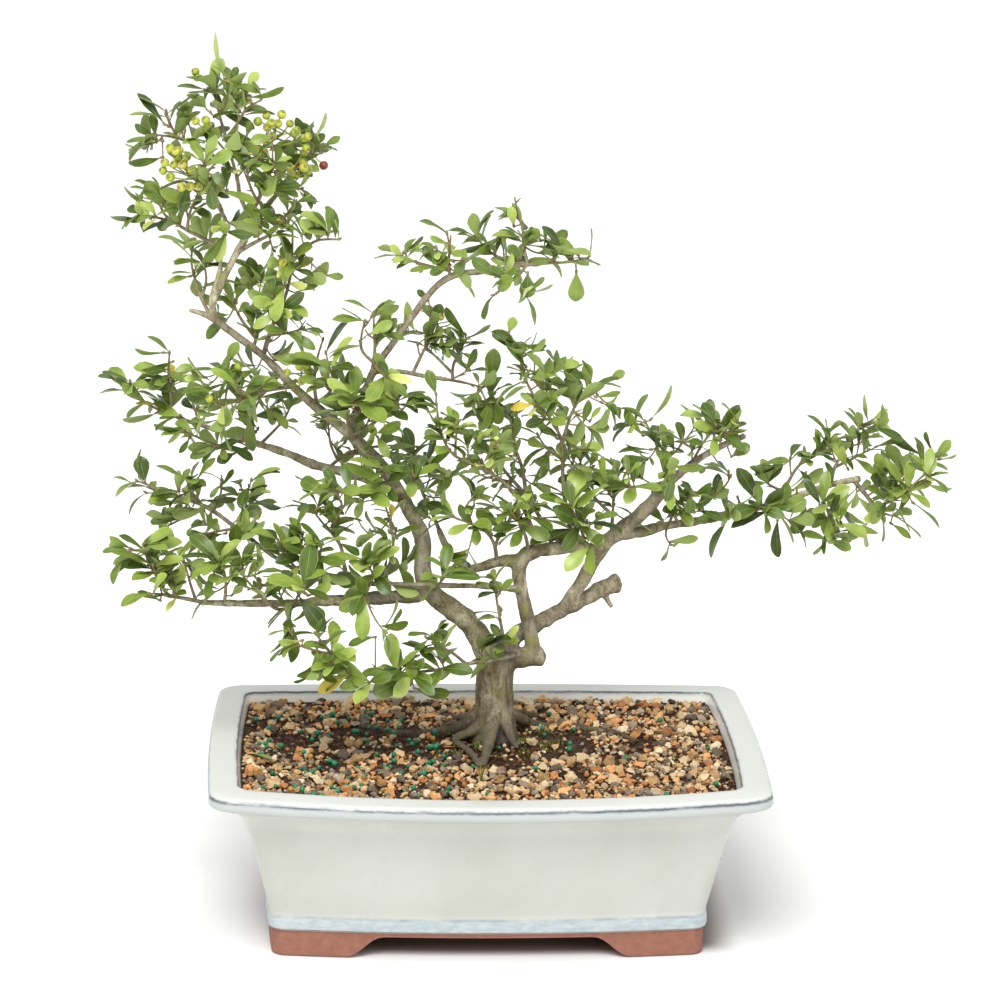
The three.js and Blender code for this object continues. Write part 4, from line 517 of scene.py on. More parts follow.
        (250, 252, 42)]), (11, 16, [(211, 243.5, 54.3), (222, 247, 62), (234, 251, 66), (246, 260, 69)]),
        (4, 17, [(219, 233, 53), (225, 229, 60), (231, 228, 63)])],
    "top_tip": [(10, 17, [(17, 370, -16.5), (31, 371.5, -15), (45, 372, -14), (55, 375, -12)]),
        (10, 14, [(21, 370.6, -16), (18.5, 381, -12), (18, 391, -8), (15, 398, -6)]),
        (5, 16, [(20.5, 370.6, -16), (16, 364, -22), (9, 359, -28), (2, 353, -32)]), (9, 15, [(20, 370.5, -16),
        (9, 372.5, -9), (0, 377, -4), (-8, 386, 0)])],
    "top_left": [(8, 14, [(-22, 364, -18), (-23, 371, -26), (-22, 380, -31), (-24, 388, -33)]),
        (6, 14, [(-22.5, 367, -21), (-36, 370, -18), (-46, 373, -15), (-51, 376, -13)])],
    "low_branch": [(12, 19, [(20, 147, -1), (13, 145.5, -12), (4, 143, -18), (-8, 142, -23), (-20, 139, -28),
        (-29, 137.5, -32), (-42, 136, -37), (-59, 135, -42), (-79, 134, -48)]), (4, 12, [(-11, 141.5, -24),
        (-17, 147, -30), (-24, 151, -35), (-30, 158, -38)]), (8, 17, [(-73, 134.3, -46.3), (-82, 141, -50),
        (-89, 150, -53), (-96, 159, -56)]), (5, 14, [(-87, 147, -52), (-97, 149, -58), (-108, 153, -62)])],
    "trunk_shoot": [(8, 13, [(13, 146, -2), (10.5, 156, -14), (8, 169, -17), (6, 180, -17), (4.5, 191, -14)])],
    "left_fork": [(7, 17, [(-30, 183, -7), (-27, 187, -19), (-24, 192, -25)])],
}

# Berry bunches: the stalk's path, the depth that the berries hang at, and each berry's x and z.
BUNCHES = {
    "berries_crown_left": ([(-149, 403, 14.5), (-157, 411, 13), (-167, 421, 12)], 1, [
        (-176, 434), (-171, 433), (-179, 426), (-174, 425), (-169, 425), (-176, 418), (-164, 422),
        (-159, 423), (-170, 412.5), (-165, 413), (-160, 413)]),
    "berries_crown_top": ([(-142.5, 429, 18.5), (-152, 440, 14)], 5, [
        (-162, 449), (-156.5, 449.5)]),
    "berries_crown_right": ([(-139.5, 418, 19.7), (-128, 432, 22), (-113, 444, 22)], 11, [
        (-128, 449), (-123, 446), (-120, 441), (-117, 448), (-115, 453), (-110.5, 448), (-107, 444),
        (-103, 440)]),
    "berries_crown_low": ([(-132, 393, 22), (-120, 408, 28), (-109, 417, 30)], 20, [
        (-116, 422), (-111, 424), (-107, 419.5), (-101.5, 422), (-110, 412.5), (-103, 426.5)]),
    "berries_middle": ([(-106, 299, 17), (-104.5, 304, 9), (-104, 307, 7)], -2, [
        (-112, 309), (-105, 312.5), (-100, 310), (-104, 304), (-98.5, 305)]),
}

# Twigs whose thickness isn't set by their length: spray, number of the twig in it, and its sizes
SPECIAL_TWIGS = {
    ("right_cut_limb", 0): {"radius": 2.1, "tip": 1.8},
    ("low_branch", 0): {"radius": 1.5},
}

# Single leaves that stand out: where the stalk end and the tip are seen on the trunk's plane, how wide
# the blade looks, and how light its green is
MARKED_LEAVES = [
   (-146, 471, -151, 498, 2.5, 0.8), (-155, 472, -147, 483, 8, 0.7), (-143, 471, -139, 479, 4.5, 0.2),
    (-134, 468, -128, 476, 6, 0.8), (-133, 462, -114, 468, 3.5, 0.4), (-156, 466, -172, 468, 4, 0.3),
    (-179, 447, -194, 464, 6.5, 0.1), (-177, 446, -170, 460, 2.5, 0.3), (-168, 443, -162, 459, 3.5, 0.6),
    (-184, 440, -195, 447, 5, 0.2), (-180, 438, -200, 437, 5, 0.4), (-180, 429, -199, 426, 5, 0.3),
    (-184, 440, -186, 453, 5.5, 0.3), (-149, 454, -130, 445, 7.5, 0.1), (-156, 432, -150, 446, 6.5, 0.7),
    (-156, 425, -142, 432, 7.5, 0.5), (-155, 420, -144, 415, 7.5, 0.3), (-120, 441, -132, 438, 6.5, 0.5),
    (-119, 425, -135, 426, 6.5, 0.3), (-93, 432, -113, 428, 7, 0.3), (-96, 437, -107, 451, 6, 0.2),
    (-98, 439, -91, 454, 2.5, 0.8), (-92, 436, -83, 441, 4.5, 0.4), (-117, 421, -125, 408, 8.5, 0.6),
    (-155, 415, -152, 400, 7.5, 0.3), (-166, 414, -170, 398, 7, 0.2), (-181, 401, -189, 416, 10, 0.4),
    (-187, 395, -195, 404, 7.5, 0.8), (-191, 395, -209, 396, 2.5, 0.3), (-178, 396, -182, 388, 6.5, 0.2),
    (-109, 398, -99, 384, 7, 0.3), (-126, 395, -112, 394, 7.5, 0.3), (-129, 359, -133, 374, 7.5, 0.2),
    (-120, 351, -121, 368, 7, 0.3), (-140, 348, -140, 363, 5, 0.5), (-139, 343, -133, 348, 5.5, 0.3),
    (-165, 363, -178, 359, 5, 0.6), (-163, 372, -175, 371, 3.5, 0.5), (-114, 343, -103, 340, 6, 0.4),
    (-107, 354, -95, 358, 4.5, 0.5), (-91, 364, -81, 363, 4.5, 0.4), (-115, 370, -123, 371, 7.5, 0.5),
    (-105, 368, -103, 380, 5, 0.2), (91, 283, 102, 303, 3.5, 0.8), (128, 280, 120, 293, 8, 0.2),
    (138, 268, 138, 281, 6, 0.3), (137, 262, 147, 269, 7.5, 0.4), (132, 277, 142, 289, 4, 0.6),
    (155, 258, 169, 260, 5.5, 0.4), (164, 226, 165, 204, 7, 0.1), (160, 231, 138, 221, 7.5, 0.1),
    (141, 239, 147, 224, 4, 0.3), (165, 231, 180, 237, 10.5, 0.4), (183, 231, 172, 218, 8, 0.2),
    (189, 234, 194, 215, 7, 0.6), (189, 236, 204, 245, 8, 0.7), (193, 214, 178, 218, 6, 0.6),
    (193, 214, 206, 209, 6.5, 0.5), (198, 219, 221, 218, 5.5, 0.5), (228, 224, 240, 215, 5.5, 0.5),
    (240, 236, 256, 221, 2, 0.3), (247, 247, 262, 244, 3.5, 0.6), (251, 261, 260, 272, 6.5, 0.6),
    (251, 264, 246, 277, 2, 0.3), (245, 263, 226, 277, 5, 0.3), (254, 261, 264, 264, 1.5, 0.5),
    (218, 268, 233, 272, 4.5, 0.4), (214, 279, 225, 284, 5, 0.6), (215, 283, 224, 290, 4.5, 0.8),
    (214, 281, 211, 298, 2, 0.7), (210, 279, 206, 287, 3.5, 0.4), (220, 245, 224, 262, 8, 0.5),
    (236, 242, 224, 260, 6.5, 0.6), (195, 246, 190, 259, 5, 0.3), (179, 261, 192, 276, 5, 0.3),
    (203, 255, 195, 275, 7.5, 0.8), (118, 257, 122, 253, 5, 0.3), (93, 242, 103, 243, 5.5, 0.3),
    (115, 240, 114, 229, 6.5, 0.2), (115, 239, 126, 247, 5, 0.3), (116, 225, 125, 226, 5.5, 0.4),
    (-48, 374, -55, 381, 4.5, 0.7), (-48, 377, -37, 386, 2.5, 0.2), (-41, 372, -51, 373, 4.5, 0.5),
    (-23, 382, -33, 386, 4, 0.5), (-20, 372, -33, 378, 5.5, 0.3), (-22, 370, -33, 365, 5.5, 0.4),
    (-13, 373, -19, 366, 6.5, 0.3), (7, 386, -8, 375, 5, 0.5), (5, 386, -19, 378, 1.5, 0.2),
    (6, 363, -10, 374, 8, 0.3), (7, 362, 12, 377, 4.5, 0.8), (13, 392, 11, 403, 5.5, 0.7),
    (21, 366, 21, 352, 9.5, 0.3), (48, 367, 48, 350, 9.5, 0.5), (49, 376, 35, 384, 8.5, 0.4),
    (36, 374, 21, 372, 6, 0.4), (28, 384, 23, 391, 5.5, 0.6), (18, 379, 22, 390, 4.5, 0.3),
    (-34, 350, -40, 356, 4, 0.2), (44, 375, 33, 381, 2.5, 0.5), (17, 374, 10, 381, 6.5, 0.3),
    (-180, 320, -196, 322, 2.5, 0.5), (-175, 315, -193, 309, 5, 0.3), (-201, 297, -211, 309, 4, 0.8),
    (-174, 298, -187, 304, 7.5, 0.2), (-172, 308, -152, 310, 2.5, 0.4), (-157, 306, -169, 305, 5, 0.8),
    (-152, 298, -170, 297, 4, 0.4), (-183, 290, -196, 291, 3.5, 0.7), (-184, 286, -203, 282, 4, 0.5),
    (-169, 276, -183, 278, 2.5, 0.2), (-166, 272, -172, 263, 4, 0.3), (-146, 315, -139, 326, 6.5, 0.5),
    (-136, 296, -125, 307, 7, 0.3), (-142, 288, -130, 292, 6.5, 0.3), (-146, 292, -146, 278, 8, 0.4),
    (-133, 284, -131, 264, 8, 0.4), (-145, 268, -131, 259, 6.5, 0.2), (-141, 263, -151, 258, 6.5, 0.3),
    (-162, 248, -152, 260, 5, 0.4), (-191, 246, -194, 261, 9.5, 0.1), (-197, 245, -209, 249, 2, 0.5),
    (-186, 243, -201, 243, 2, 0.3), (-172, 243, -166, 254, 4.5, 0.4), (-149, 244, -142, 254, 3.5, 0.3),
    (-173, 235, -187, 235, 5, 0.4), (-159, 236, -140, 237, 4, 0.2), (-133, 238, -115, 232, 4, 0.2),
    (-138, 242, -123, 245, 2, 0.2), (-139, 226, -127, 232, 7.5, 0.2), (-174, 213, -183, 224, 6, 0.6),
    (-199, 208, -211, 215, 5, 0.4), (-199, 207, -215, 206, 5, 0.4), (-196, 204, -210, 193, 6, 0.3),
    (-190, 198, -184, 213, 4, 0.6), (-189, 199, -175, 197, 6, 0.2), (-146, 217, -166, 216, 5, 0.3),
    (-143, 202, -156, 212, 7.5, 0.3), (-151, 198, -165, 200, 5.5, 0.5), (-152, 196, -157, 179, 6, 0.3),
    (-143, 181, -137, 187, 5, 0.6), (-138, 197, -130, 212, 6.5, 0.2), (-115, 203, -127, 218, 8.5, 0.3),
    (-101, 182, -112, 192, 10, 0.5), (-100, 181, -87, 188, 6.5, 0.5), (-100, 177, -91, 167, 7, 0.4),
    (-109, 174, -112, 157, 5, 0.3), (-103, 155, -117, 154, 4.5, 0.9), (-95, 150, -94, 131, 8, 0.4),
    (-107, 220, -100, 233, 4.5, 0.4), (-112, 188, -124, 180, 4.5, 0.2), (-183, 178, -196, 183, 4.5, 0.4),
    (-68, 338, -87, 339, 6, 0.5), (-62, 342, -50, 347, 5, 0.4), (-29, 297, -34, 311, 6.5, 0.3),
    (-83, 289, -50, 298, 13, 0.2), (-53, 295, -54, 312, 10.5, 0.7), (-48, 288, -37, 299, 5, 0.4),
    (1, 303, 3, 323, 9.5, 0.4), (11, 332, 14, 341, 6, 0.7), (18, 324, 2, 333, 4.5, 0.3),
    (17, 326, 32, 325, 4, 0.4), (21, 313, 11, 330, 6, 0.3), (-13, 331, -24, 346, 5.5, 0.4),
    (-12, 329, 1, 337, 2.5, 0.4), (-31, 337, -27, 348, 7, 0.2), (30, 305, 43, 319, 6, 0.5),
    (54, 306, 42, 311, 8, 0.4), (57, 303, 54, 315, 6.5, 0.5), (57, 301, 73, 306, 4, 0.2),
    (68, 307, 76, 310, 5.5, 0.4), (60, 296, 74, 299, 3.5, 0.7), (63, 293, 73, 285, 4, 0.3),
    (87, 274, 77, 289, 6, 0.5), (92, 266, 73, 264, 3.5, 0.3), (-4, 300, -13, 290, 6, 0.5),
    (4, 291, -14, 282, 4, 0.1), (17, 283, 11, 292, 6.5, 0.6), (39, 272, 25, 286, 5, 0.4),
    (1, 273, -9, 274, 6.5, 0.3), (3, 268, -8, 264, 5.5, 0.2), (4, 267, 15, 266, 7, 0.4),
    (-34, 254, -20, 266, 6.5, 0.3), (-16, 282, -31, 278, 4, 0.4), (-22, 271, -36, 272, 4.5, 0.4),
    (-39, 267, -55, 266, 4.5, 0.4), (-58, 249, -79, 258, 6, 0.4), (53, 280, 56, 294, 6, 0.3),
    (57, 282, 63, 290, 3.5, 0.7), (-30, 249, -15, 252, 4.5, 0.2), (-46, 131, -63, 124, 12, 0.4),
    (-40, 127, -20, 124, 8, 0.3), (-42, 129, -41, 144, 7.5, 0.6), (-62, 157, -77, 152, 5.5, 0.3),
]

# Where the crown is thickest, and where light shows through it, on the trunk's plane
LEAFY_PLACES = [
   (-135, 440), (-146, 414), (-187, 438), (-189, 407), (-102, 396), (-146, 392), (-126, 367), (-102, 364),
    (-116, 347), (-130, 313), (-157, 305), (-148, 285), (-120, 291), (-205, 206), (-155, 187), (-91, 200),
    (-110, 170), (-95, 141), (-57, 163), (-41, 138), (-55, 196), (-26, 219), (-26, 245), (-40, 234), (-91, 248),
    (-7, 297), (-26, 339), (-18, 370), (8, 381), (21, 359), (23, 325), (41, 311), (36, 317), (57, 283),
    (77, 283), (60, 260), (28, 251), (100, 254), (39, 219), (-21, 173), (171, 230), (199, 243), (213, 226),
    (217, 283), (142, 267), (-32, 262), (197, 217), (207, 246), (170, 246), (52, 271), (68, 294), (-138, 447),
    (-130, 436), (-113, 361), (-27, 328), (-141, 397), (-138, 411), (-110, 442), (-102, 439), (-161, 447),
    (26, 311), (34, 300), (28, 382), (-119, 322), (-62, 277), (-55, 268), (-127, 199), (-110, 181), (-48, 202),
    (-54, 210), (-12, 211), (105, 260), (91, 266), (204, 255), (216, 240), (-146, 344), (-172, 184), (-85, 271),
    (-65, 222), (-127, 354), (-119, 381), (-44, 339), (-169, 282), (1, 300), (81, 231), (137, 237), (-158, 236),
    (-96, 236),
]
OPEN_PLACES = [
   (-179, 462), (-128, 475), (-126, 464), (-77, 389), (-176, 383), (-28, 388), (16, 407), (55, 385), (-3, 356),
    (-168, 352), (-99, 342), (-70, 339), (-177, 324), (-169, 293), (-144, 253), (-197, 245), (-177, 250),
    (-201, 222), (-194, 181), (-96, 222), (-77, 208), (-27, 299), (-15, 239), (135, 289), (145, 260),
    (164, 269), (202, 301), (91, 286), (-14, 155), (-37, 163), (8, 170), (129, 217), (-55, 322), (-74, 333),
    (-210, 297), (-200, 313), (-166, 259), (-185, 253), (-133, 249), (-152, 252), (-205, 247), (-201, 178),
    (-99, 350), (-92, 327), (-83, 378), (-90, 403), (-53, 384), (-20, 392), (11, 411), (62, 375), (41, 354),
    (5, 346), (-69, 353), (-102, 161), (-110, 135), (-69, 143), (-38, 282), (78, 303), (124, 297), (147, 286),
    (139, 256), (169, 201), (206, 208), (239, 214), (249, 272), (179, 275), (47, 201), (73, 191), (-179, 449),
    (-119, 458), (-193, 425), (-86, 428), (-66, 328), (-41, 325), (-166, 327), (-146, 327), (-79, 202),
    (-6, 409), (107, 292), (-163, 358), (-127, 276), (29, 271), (-69, 164), (-172, 222), (-197, 216),
]


# The growth rule: twigs, rosettes of leaves, and room between them


def path_length(points):
    return float(np.sum(norm(np.diff(points, axis=0), axis=1)))


def walk(points, step):
    """Places along a path about one step apart: the point, its stretch, and the share of that stretch."""
    places = []
    for i in range(len(points) - 1):
        count = max(1, ceil(norm(points[i + 1] - points[i]) / step))
        for k in range(count):
            places.append((points[i] + (points[i + 1] - points[i]) * (k / count), i, k / count))
    places.append((points[-1], len(points) - 2, 1))
    return places


def point_along(points, share):
    left = share * path_length(points)
    for i in range(len(points) - 1):
        span = float(norm(points[i + 1] - points[i]))
        if left <= span or i == len(points) - 2:
            along = unit(points[i + 1] - points[i])
            return points[i] + along * min(left, span), along
        left -= span


class Crowd:
    """Balls that stand for everything already placed, so that leaves of different branchlets stay apart."""

    def __init__(self):
        self.cells = {}

    def key(self, at):
        return tuple(int(floor(part / CELL)) for part in at)

    def add(self, balls, owner):
        for at, radius in balls:
            self.cells.setdefault(self.key(at), []).append((at[0], at[1], at[2], radius, owner))

    def is_clear(self, balls, owner, gap=CROWD_GAP):
        for at, radius in balls:
            for cell in product(*((part - 1, part, part + 1) for part in self.key(at))):
                for x, y, z, reach, other in self.cells.get(cell, ()):
                    if other == owner:
                        continue
                    room = reach + radius + gap
                    if (x - at[0]) ** 2 + (y - at[1]) ** 2 + (z - at[2]) ** 2 < room * room:
                        return False
        return True


class Twig:
    """A tapering stem. A main one is read on the trunk's plane, and a shoot is already placed."""

    def __init__(self, leaves, leaf_length, path, radius=None, tip=TWIG_TIP_RADIUS, placed=False):
        self.leaves = leaves
        self.leaf_length = leaf_length
        self.points = np.array(path if placed else [seen_at(*place) for place in path])
        self.length = path_length(self.points)
        self.is_shoot = placed
        base = radius or min(max(0.6 + self.length / 70, 0.8), 1.5)
        self.radii = [base + (tip - base) * path_length(self.points[:i + 1]) / self.length
                      for i in range(len(self.points))]

    def balls(self):
        return [(at, self.radii[i] * (1 - share) + self.radii[i + 1] * share)
                for at, i, share in walk(self.points, WALK_STEP)]


@dataclass
class Leaf:
    """Where a leaf sits, which way it points and faces, its length and how far it curls back.

    A leaf that is placed singly has a tone and a width of its own.
    """

    seed: int
    root: np.ndarray
    direction: np.ndarray
    face: np.ndarray
    length: float
    curl: float
    axis: np.ndarray = None
    rosette: int = 1
    ring: int = 0
    tone: float = None
    width: float = None

    def __post_init__(self):
        self.side = np.cross(self.direction, self.face)
        if self.axis is None:
            self.axis = self.direction

    def points(self, share, across, lift, width):
        """Points on the blade: share along it, across it from -1 to 1, and lifted off it."""
        bend = (self.curl * share)[:, None]
        reach = self.length / self.curl
        face = self.face * np.cos(bend) + self.direction * np.sin(bend)
        half_width = (0.5 * LEAF_WIDTH * self.length * width)[:, None]
        return (self.root + self.direction * reach * np.sin(bend) - self.face * reach * (1 - np.cos(bend))
                + self.side * half_width * across[:, None] + face * lift[:, None])

    def balls(self):
        share = np.repeat(np.arange(1, 9) / 8, 5)
        across = np.tile([-0.9, -0.45, 0, 0.45, 0.9], 8)
        points = self.points(share, across, np.zeros(40), solid_leaf_width(share))
        return [(at, LEAF_BALL) for at in points]


def twig_leaf(twig, i, seed, attempt):
    """Leaf number i of a twig: it belongs to a rosette, whose leaves spiral round the rosette's axis."""
    random = seeded_random(seed * 1000 + i)
    rosettes = max(1, floor(twig.leaves / 4 + 0.5))
    rosette, ring = i % rosettes, i // rosettes
    step = LEAF_STEP * ring / twig.length
    root, along = point_along(twig.points, 0.985 - 0.7 * rosette / rosettes - step)
    level = unit(np.cross(along, UP))
    spur_turn = 2 * pi * seeded_random(seed * 1000 + 500 + rosette)()
    axis = along * (1 if rosette == 0 else 0.35)
    if rosette > 0:
        rise = np.cross(level, along)
        axis = axis + level * 0.8 * cos(spur_turn) + rise * 0.8 * sin(spur_turn)
    axis = unit(axis + UP * 0.55)
    across = unit(np.cross(axis, [0.2, 0.97, 0.1]))
    other = np.cross(axis, across)
    turn = GOLDEN_ANGLE * ring + 0.9 * random() + 1.1 * attempt
    tilt = 0.45 + 0.75 * random()
    direction = (axis * cos(tilt) + across * sin(tilt) * cos(turn)
                 + other * sin(tilt) * sin(turn))
    face = turned_about(square_to(axis, direction), direction, 0.8 * (random() - 0.5))
    length = twig.leaf_length * (0.72 + 0.5 * random())
    return Leaf(seed * 1000 + i, root, direction, face, length, 0.25 + 0.6 * random(), axis, rosette, ring)


def solid_leaf_width(share):
    """Half width of the solids' own leaf along its length."""
    return np.sin(np.pi * np.minimum(share, 1) ** 1.35).clip(0) ** 0.7


def limb_balls():
    balls = []
    for rows in LIMBS.values():
        points = np.array([seen_at(x, z, depth) for x, z, depth, radius in rows])
        balls += [(at, rows[i][3] * (1 - share) + rows[i + 1][3] * share) for at, i, share in walk(points, 1.5)]
    return balls


class Bunch:
    """Berries on thin stems that leave one stalk."""

    def __init__(self, rows, depth, places, seed):
        random = seeded_random(seed)
        self.stalk = np.array([seen_at(*row) for row in rows])
        self.berries = [seen_at(x, z, depth + 5 * (random() - 0.5)) for x, z in places]
        self.forks = [point_along(self.stalk, 0.99 - 0.45 * i / len(places))[0] for i in range(len(places))]

    def balls(self):
        balls = [(at, STALK_RADIUS) for at, i, share in walk(self.stalk, WALK_STEP)]
        for fork, berry in zip(self.forks, self.berries):
            balls += [(at, BERRY_STEM_BALL) for at, i, share in walk(np.array([fork, berry]), WALK_STEP)]
            balls.append((berry, BERRY_RADIUS))
        return balls


def grow_tree():
    """Bunches, twigs and leaves in the solids' own order, then the leaves that only show here."""
    crowd = Crowd()
    crowd.add(limb_balls(), "trunk")
    bunches = {}
    for number, (name, rows) in enumerate(BUNCHES.items()):
        bunches[name] = Bunch(*rows, 900 + number)
        crowd.add(bunches[name].balls(), name)
    sprays = {}
    for name, rows in SPRAYS.items():
        sprays[name] = [(Twig(*row, **SPECIAL_TWIGS.get((name, number), {})), [])
                        for number, row in enumerate(rows)]
        for twig, leaves in sprays[name]:
            crowd.add(twig.balls(), name)
    grow_leaves(sprays, crowd, False)
    add_marked_leaves(sprays, crowd)
    grow_leaves(sprays, crowd, True)
    grow_side_shoots(sprays, crowd)
    grow_leafy_places(sprays, crowd)
    return sprays, bunches


def grow_leaves(sprays, crowd, only_here):
    """The leaves of every twig, either those that the solids have or all the others."""
    every_twig = [(name, twig, leaves) for name, twigs in sprays.items() for twig, leaves in twigs]
    for seed, (name, twig, leaves) in enumerate(every_twig, 1):
        for i in range(twig.leaves):
            in_solids = i == 0 or (i * GOLDEN_SHARE) % 1 < LEAF_SHARE
            if in_solids == only_here:
                continue
            for attempt in range(5):
                leaf = twig_leaf(twig, i, seed, attempt)
                balls = leaf.balls()
                if only_here and in_open_place(leaf):
                    continue
                if crowd.is_clear(balls, name):
                    crowd.add(balls, name)
                    leaves.append(leaf)
                    break


def in_open_place(leaf):
    middle = leaf.root + leaf.direction * leaf.length * 0.6
    x, z = seen_on_plane(middle)
    return any(hypot(x - open_x, z - open_z) < OPEN_RADIUS for open_x, open_z in OPEN_PLACES)


def nearest_twig(sprays, x, z):
    """The main twig that passes nearest to a place on the trunk's plane: spray, entry and point on it."""
    best = None
    for name, twigs in sprays.items():
        for entry in twigs:
            if entry[0].is_shoot:
                continue
            for at, i, share in walk(entry[0].points, 3):
                seen_x, seen_z = seen_on_plane(at)
                away = hypot(seen_x - x, seen_z - z)
                if best is None or away < best[0]:
                    best = (away, name, entry, at)
    return best[1:]


def sagging(start, end, sag):
    """A path of three points whose middle hangs a share of its length below the straight line."""
    middle = (start + end) / 2 + UP * -sag * norm(end - start)
    return [start, middle, end]


def add_marked_leaves(sprays, crowd):
    """The leaves that stand out are put where they are, each on a stalk from the nearest twig."""
    toward_viewer = unit(np.array([0, -1, 0.3]))
    for seed, (x0, z0, x1, z1, width, tone) in enumerate(MARKED_LEAVES, 60000):
        random = seeded_random(seed)
        name, entry, at = nearest_twig(sprays, x0, z0)
        depth = at[1] - TRUNK_PLANE_Y - 2
        root = seen_at(x0, z0, depth)
        tip = seen_at(x1, z1, depth + (random() - 0.6) * 0.5 * hypot(x1 - x0, z1 - z0))
        direction = unit(tip - root)
        face = square_to(toward_viewer, direction)
        curl = 0.15 + 0.35 * random()
        length = norm(tip - root) / (sin(curl) / curl)
        breadth = width / (LEAF_WIDTH * length)
        turn = acos(min(1, max(0.25, breadth / 0.95))) * (1 if random() < 0.5 else -1)
        face = turned_about(face, direction, turn)
        direction = unit(direction + face * sin(curl / 2))
        face = square_to(face, direction)
        leaf = Leaf(seed, root, direction, face, length, curl, tone=tone, width=max(0.8, breadth))
        if norm(root - at) > 1.2:
            sprays[name].append((Twig(0, 1, sagging(at, root, 0.08), 0.5, 0.38, True), [leaf]))
        else:
            leaf.root = at
            entry[1].append(leaf)
        crowd.add(leaf.balls(), name)


def in_solids_box(place):
    """True where a place keeps to the box of the solids."""
    place = in_frame(place)
    low, high = np.array(cad_box[0]), np.array(cad_box[1])
    return bool(np.all(place > low - BOX_MARGIN * MM) and np.all(place < high + BOX_MARGIN * MM))


def grow_shoot(name, twigs, crowd, path, leaves, leaf_length, seed):
    """A thin shoot along the path with leaves wherever there is room for them."""
    shoot = Twig(leaves, leaf_length, path, 0.55, 0.4, True)
    if not crowd.is_clear(shoot.balls()[3:], name, 0):
        return
    crowd.add(shoot.balls(), name)
    grown = []
    for i in range(leaves):
        for attempt in range(4):
            leaf = twig_leaf(shoot, i, seed, attempt)
            balls = leaf.balls()
            if in_open_place(leaf) or not in_solids_box(balls[-1][0]):
                continue
            if crowd.is_clear(balls, name, SHOOT_GAP):
                crowd.add(balls, name)
                grown.append(leaf)
                break
    twigs.append((shoot, grown))


def grow_leafy_places(sprays, crowd):
    """Longer shoots that reach for the places where the crown is thickest."""
    for number, (x, z) in enumerate(LEAFY_PLACES):
        random = seeded_random(50000 + number)
        name, entry, at = nearest_twig(sprays, x, z)
        end = seen_at(x + 4 * (random() - 0.5), z - 3 - 4 * random(),
                      at[1] - TRUNK_PLANE_Y + 8 * (random() - 0.7))
        if norm(end - at) < 4:
            end = at + unit(end - at) * 4
        grow_shoot(name, sprays[name], crowd, sagging(at, end, 0.12), 5, 14 + 3 * random(), 52000 + number)


def grow_side_shoots(sprays, crowd):
    """Short leafy shoots along every twig, which thicken the crown."""
    number = 0
    for name, twigs in sprays.items():
        for twig in [entry[0] for entry in twigs if not entry[0].is_shoot]:
            random = seeded_random(30000 + number)
            count = round(twig.length / SHOOT_SPACING)
            for k in range(count):
                number += 1
                place, along = point_along(twig.points, 0.1 + 0.88 * (k + random()) / count)
                away = any_direction(random)
                out = unit(along * 0.4 + unit(np.cross(along, away)) * 0.9 + np.array([0, 0, 0.45]))
                reach = 3 + 12 * random() ** 1.3
                bend = unit(out + along * 0.3 + np.array([0, 0, 0.3]))
                path = [place, place + out * reach * 0.5, place + out * reach * 0.5 + bend * reach * 0.5]
                leaves = 3 + floor(4 * random())
                leaf_length = twig.leaf_length * (0.72 + 0.35 * random())
                grow_shoot(name, twigs, crowd, path, leaves, leaf_length, 40000 + number)


# Mesh helpers


def cut_corners(rows):
    """Rounds a row of points or sizes once, and keeps its two ends where they are."""
    first, second = rows[:-1], rows[1:]
    cut = np.empty((2 * len(first), *rows.shape[1:]))
    cut[0::2] = first * 0.75 + second * 0.25
    cut[1::2] = first * 0.25 + second * 0.75
    return np.concatenate([rows[:1], cut[1:-1], rows[-1:]])


def smooth_path(points, values, passes=2):
    points, values = np.asarray(points, float), np.asarray(values, float)
    for _ in range(passes):
        points, values = cut_corners(points), cut_corners(values)
    return points, values


def ring_faces(rings, sides):
    """The faces of a skin over rings of vertices."""
    faces = []
    for ring in range(rings - 1):
        for side in range(sides):
            a, b = ring * sides + side, ring * sides + (side + 1) % sides
            faces.append((a, b, b + sides, a + sides))
    return faces


def closed_faces(rings, sides):
    """The same, closed at each end by one of the two vertices that follow the rings."""
    faces = ring_faces(rings, sides)
    start, end, last = rings * sides, rings * sides + 1, (rings - 1) * sides
    for side in range(sides):
        after = (side + 1) % sides
        faces += [(start, after, side), (end, last + side, last + after)]
    return faces


def tube(points, radii, sides, tip=0.6):
    """Round stem: vertices and faces, both ends closed by a low cone."""
    vertices = []
    steady = unit(np.array([0.31, -0.83, 0.46]))
    turns = 2 * np.pi * np.arange(sides) / sides
    for i, point in enumerate(points):
        along = unit(points[min(i + 1, len(points) - 1)] - points[max(i - 1, 0)])
        steady = square_to(steady, along)
        across = np.cross(along, steady)
        circle = np.outer(np.cos(turns), steady) + np.outer(np.sin(turns), across)
        vertices.append(point + radii[i] * circle)
    vertices.append([points[0] - unit(points[1] - points[0]) * radii[0] * tip])
    vertices.append([points[-1] + unit(points[-1] - points[-2]) * radii[-1] * tip])
    return np.vstack(vertices), closed_faces(len(points), sides)


def put_in_scene(name, data):
    thing = bpy.data.objects.new(name, data)
    bpy.context.scene.collection.objects.link(thing)
    return thing


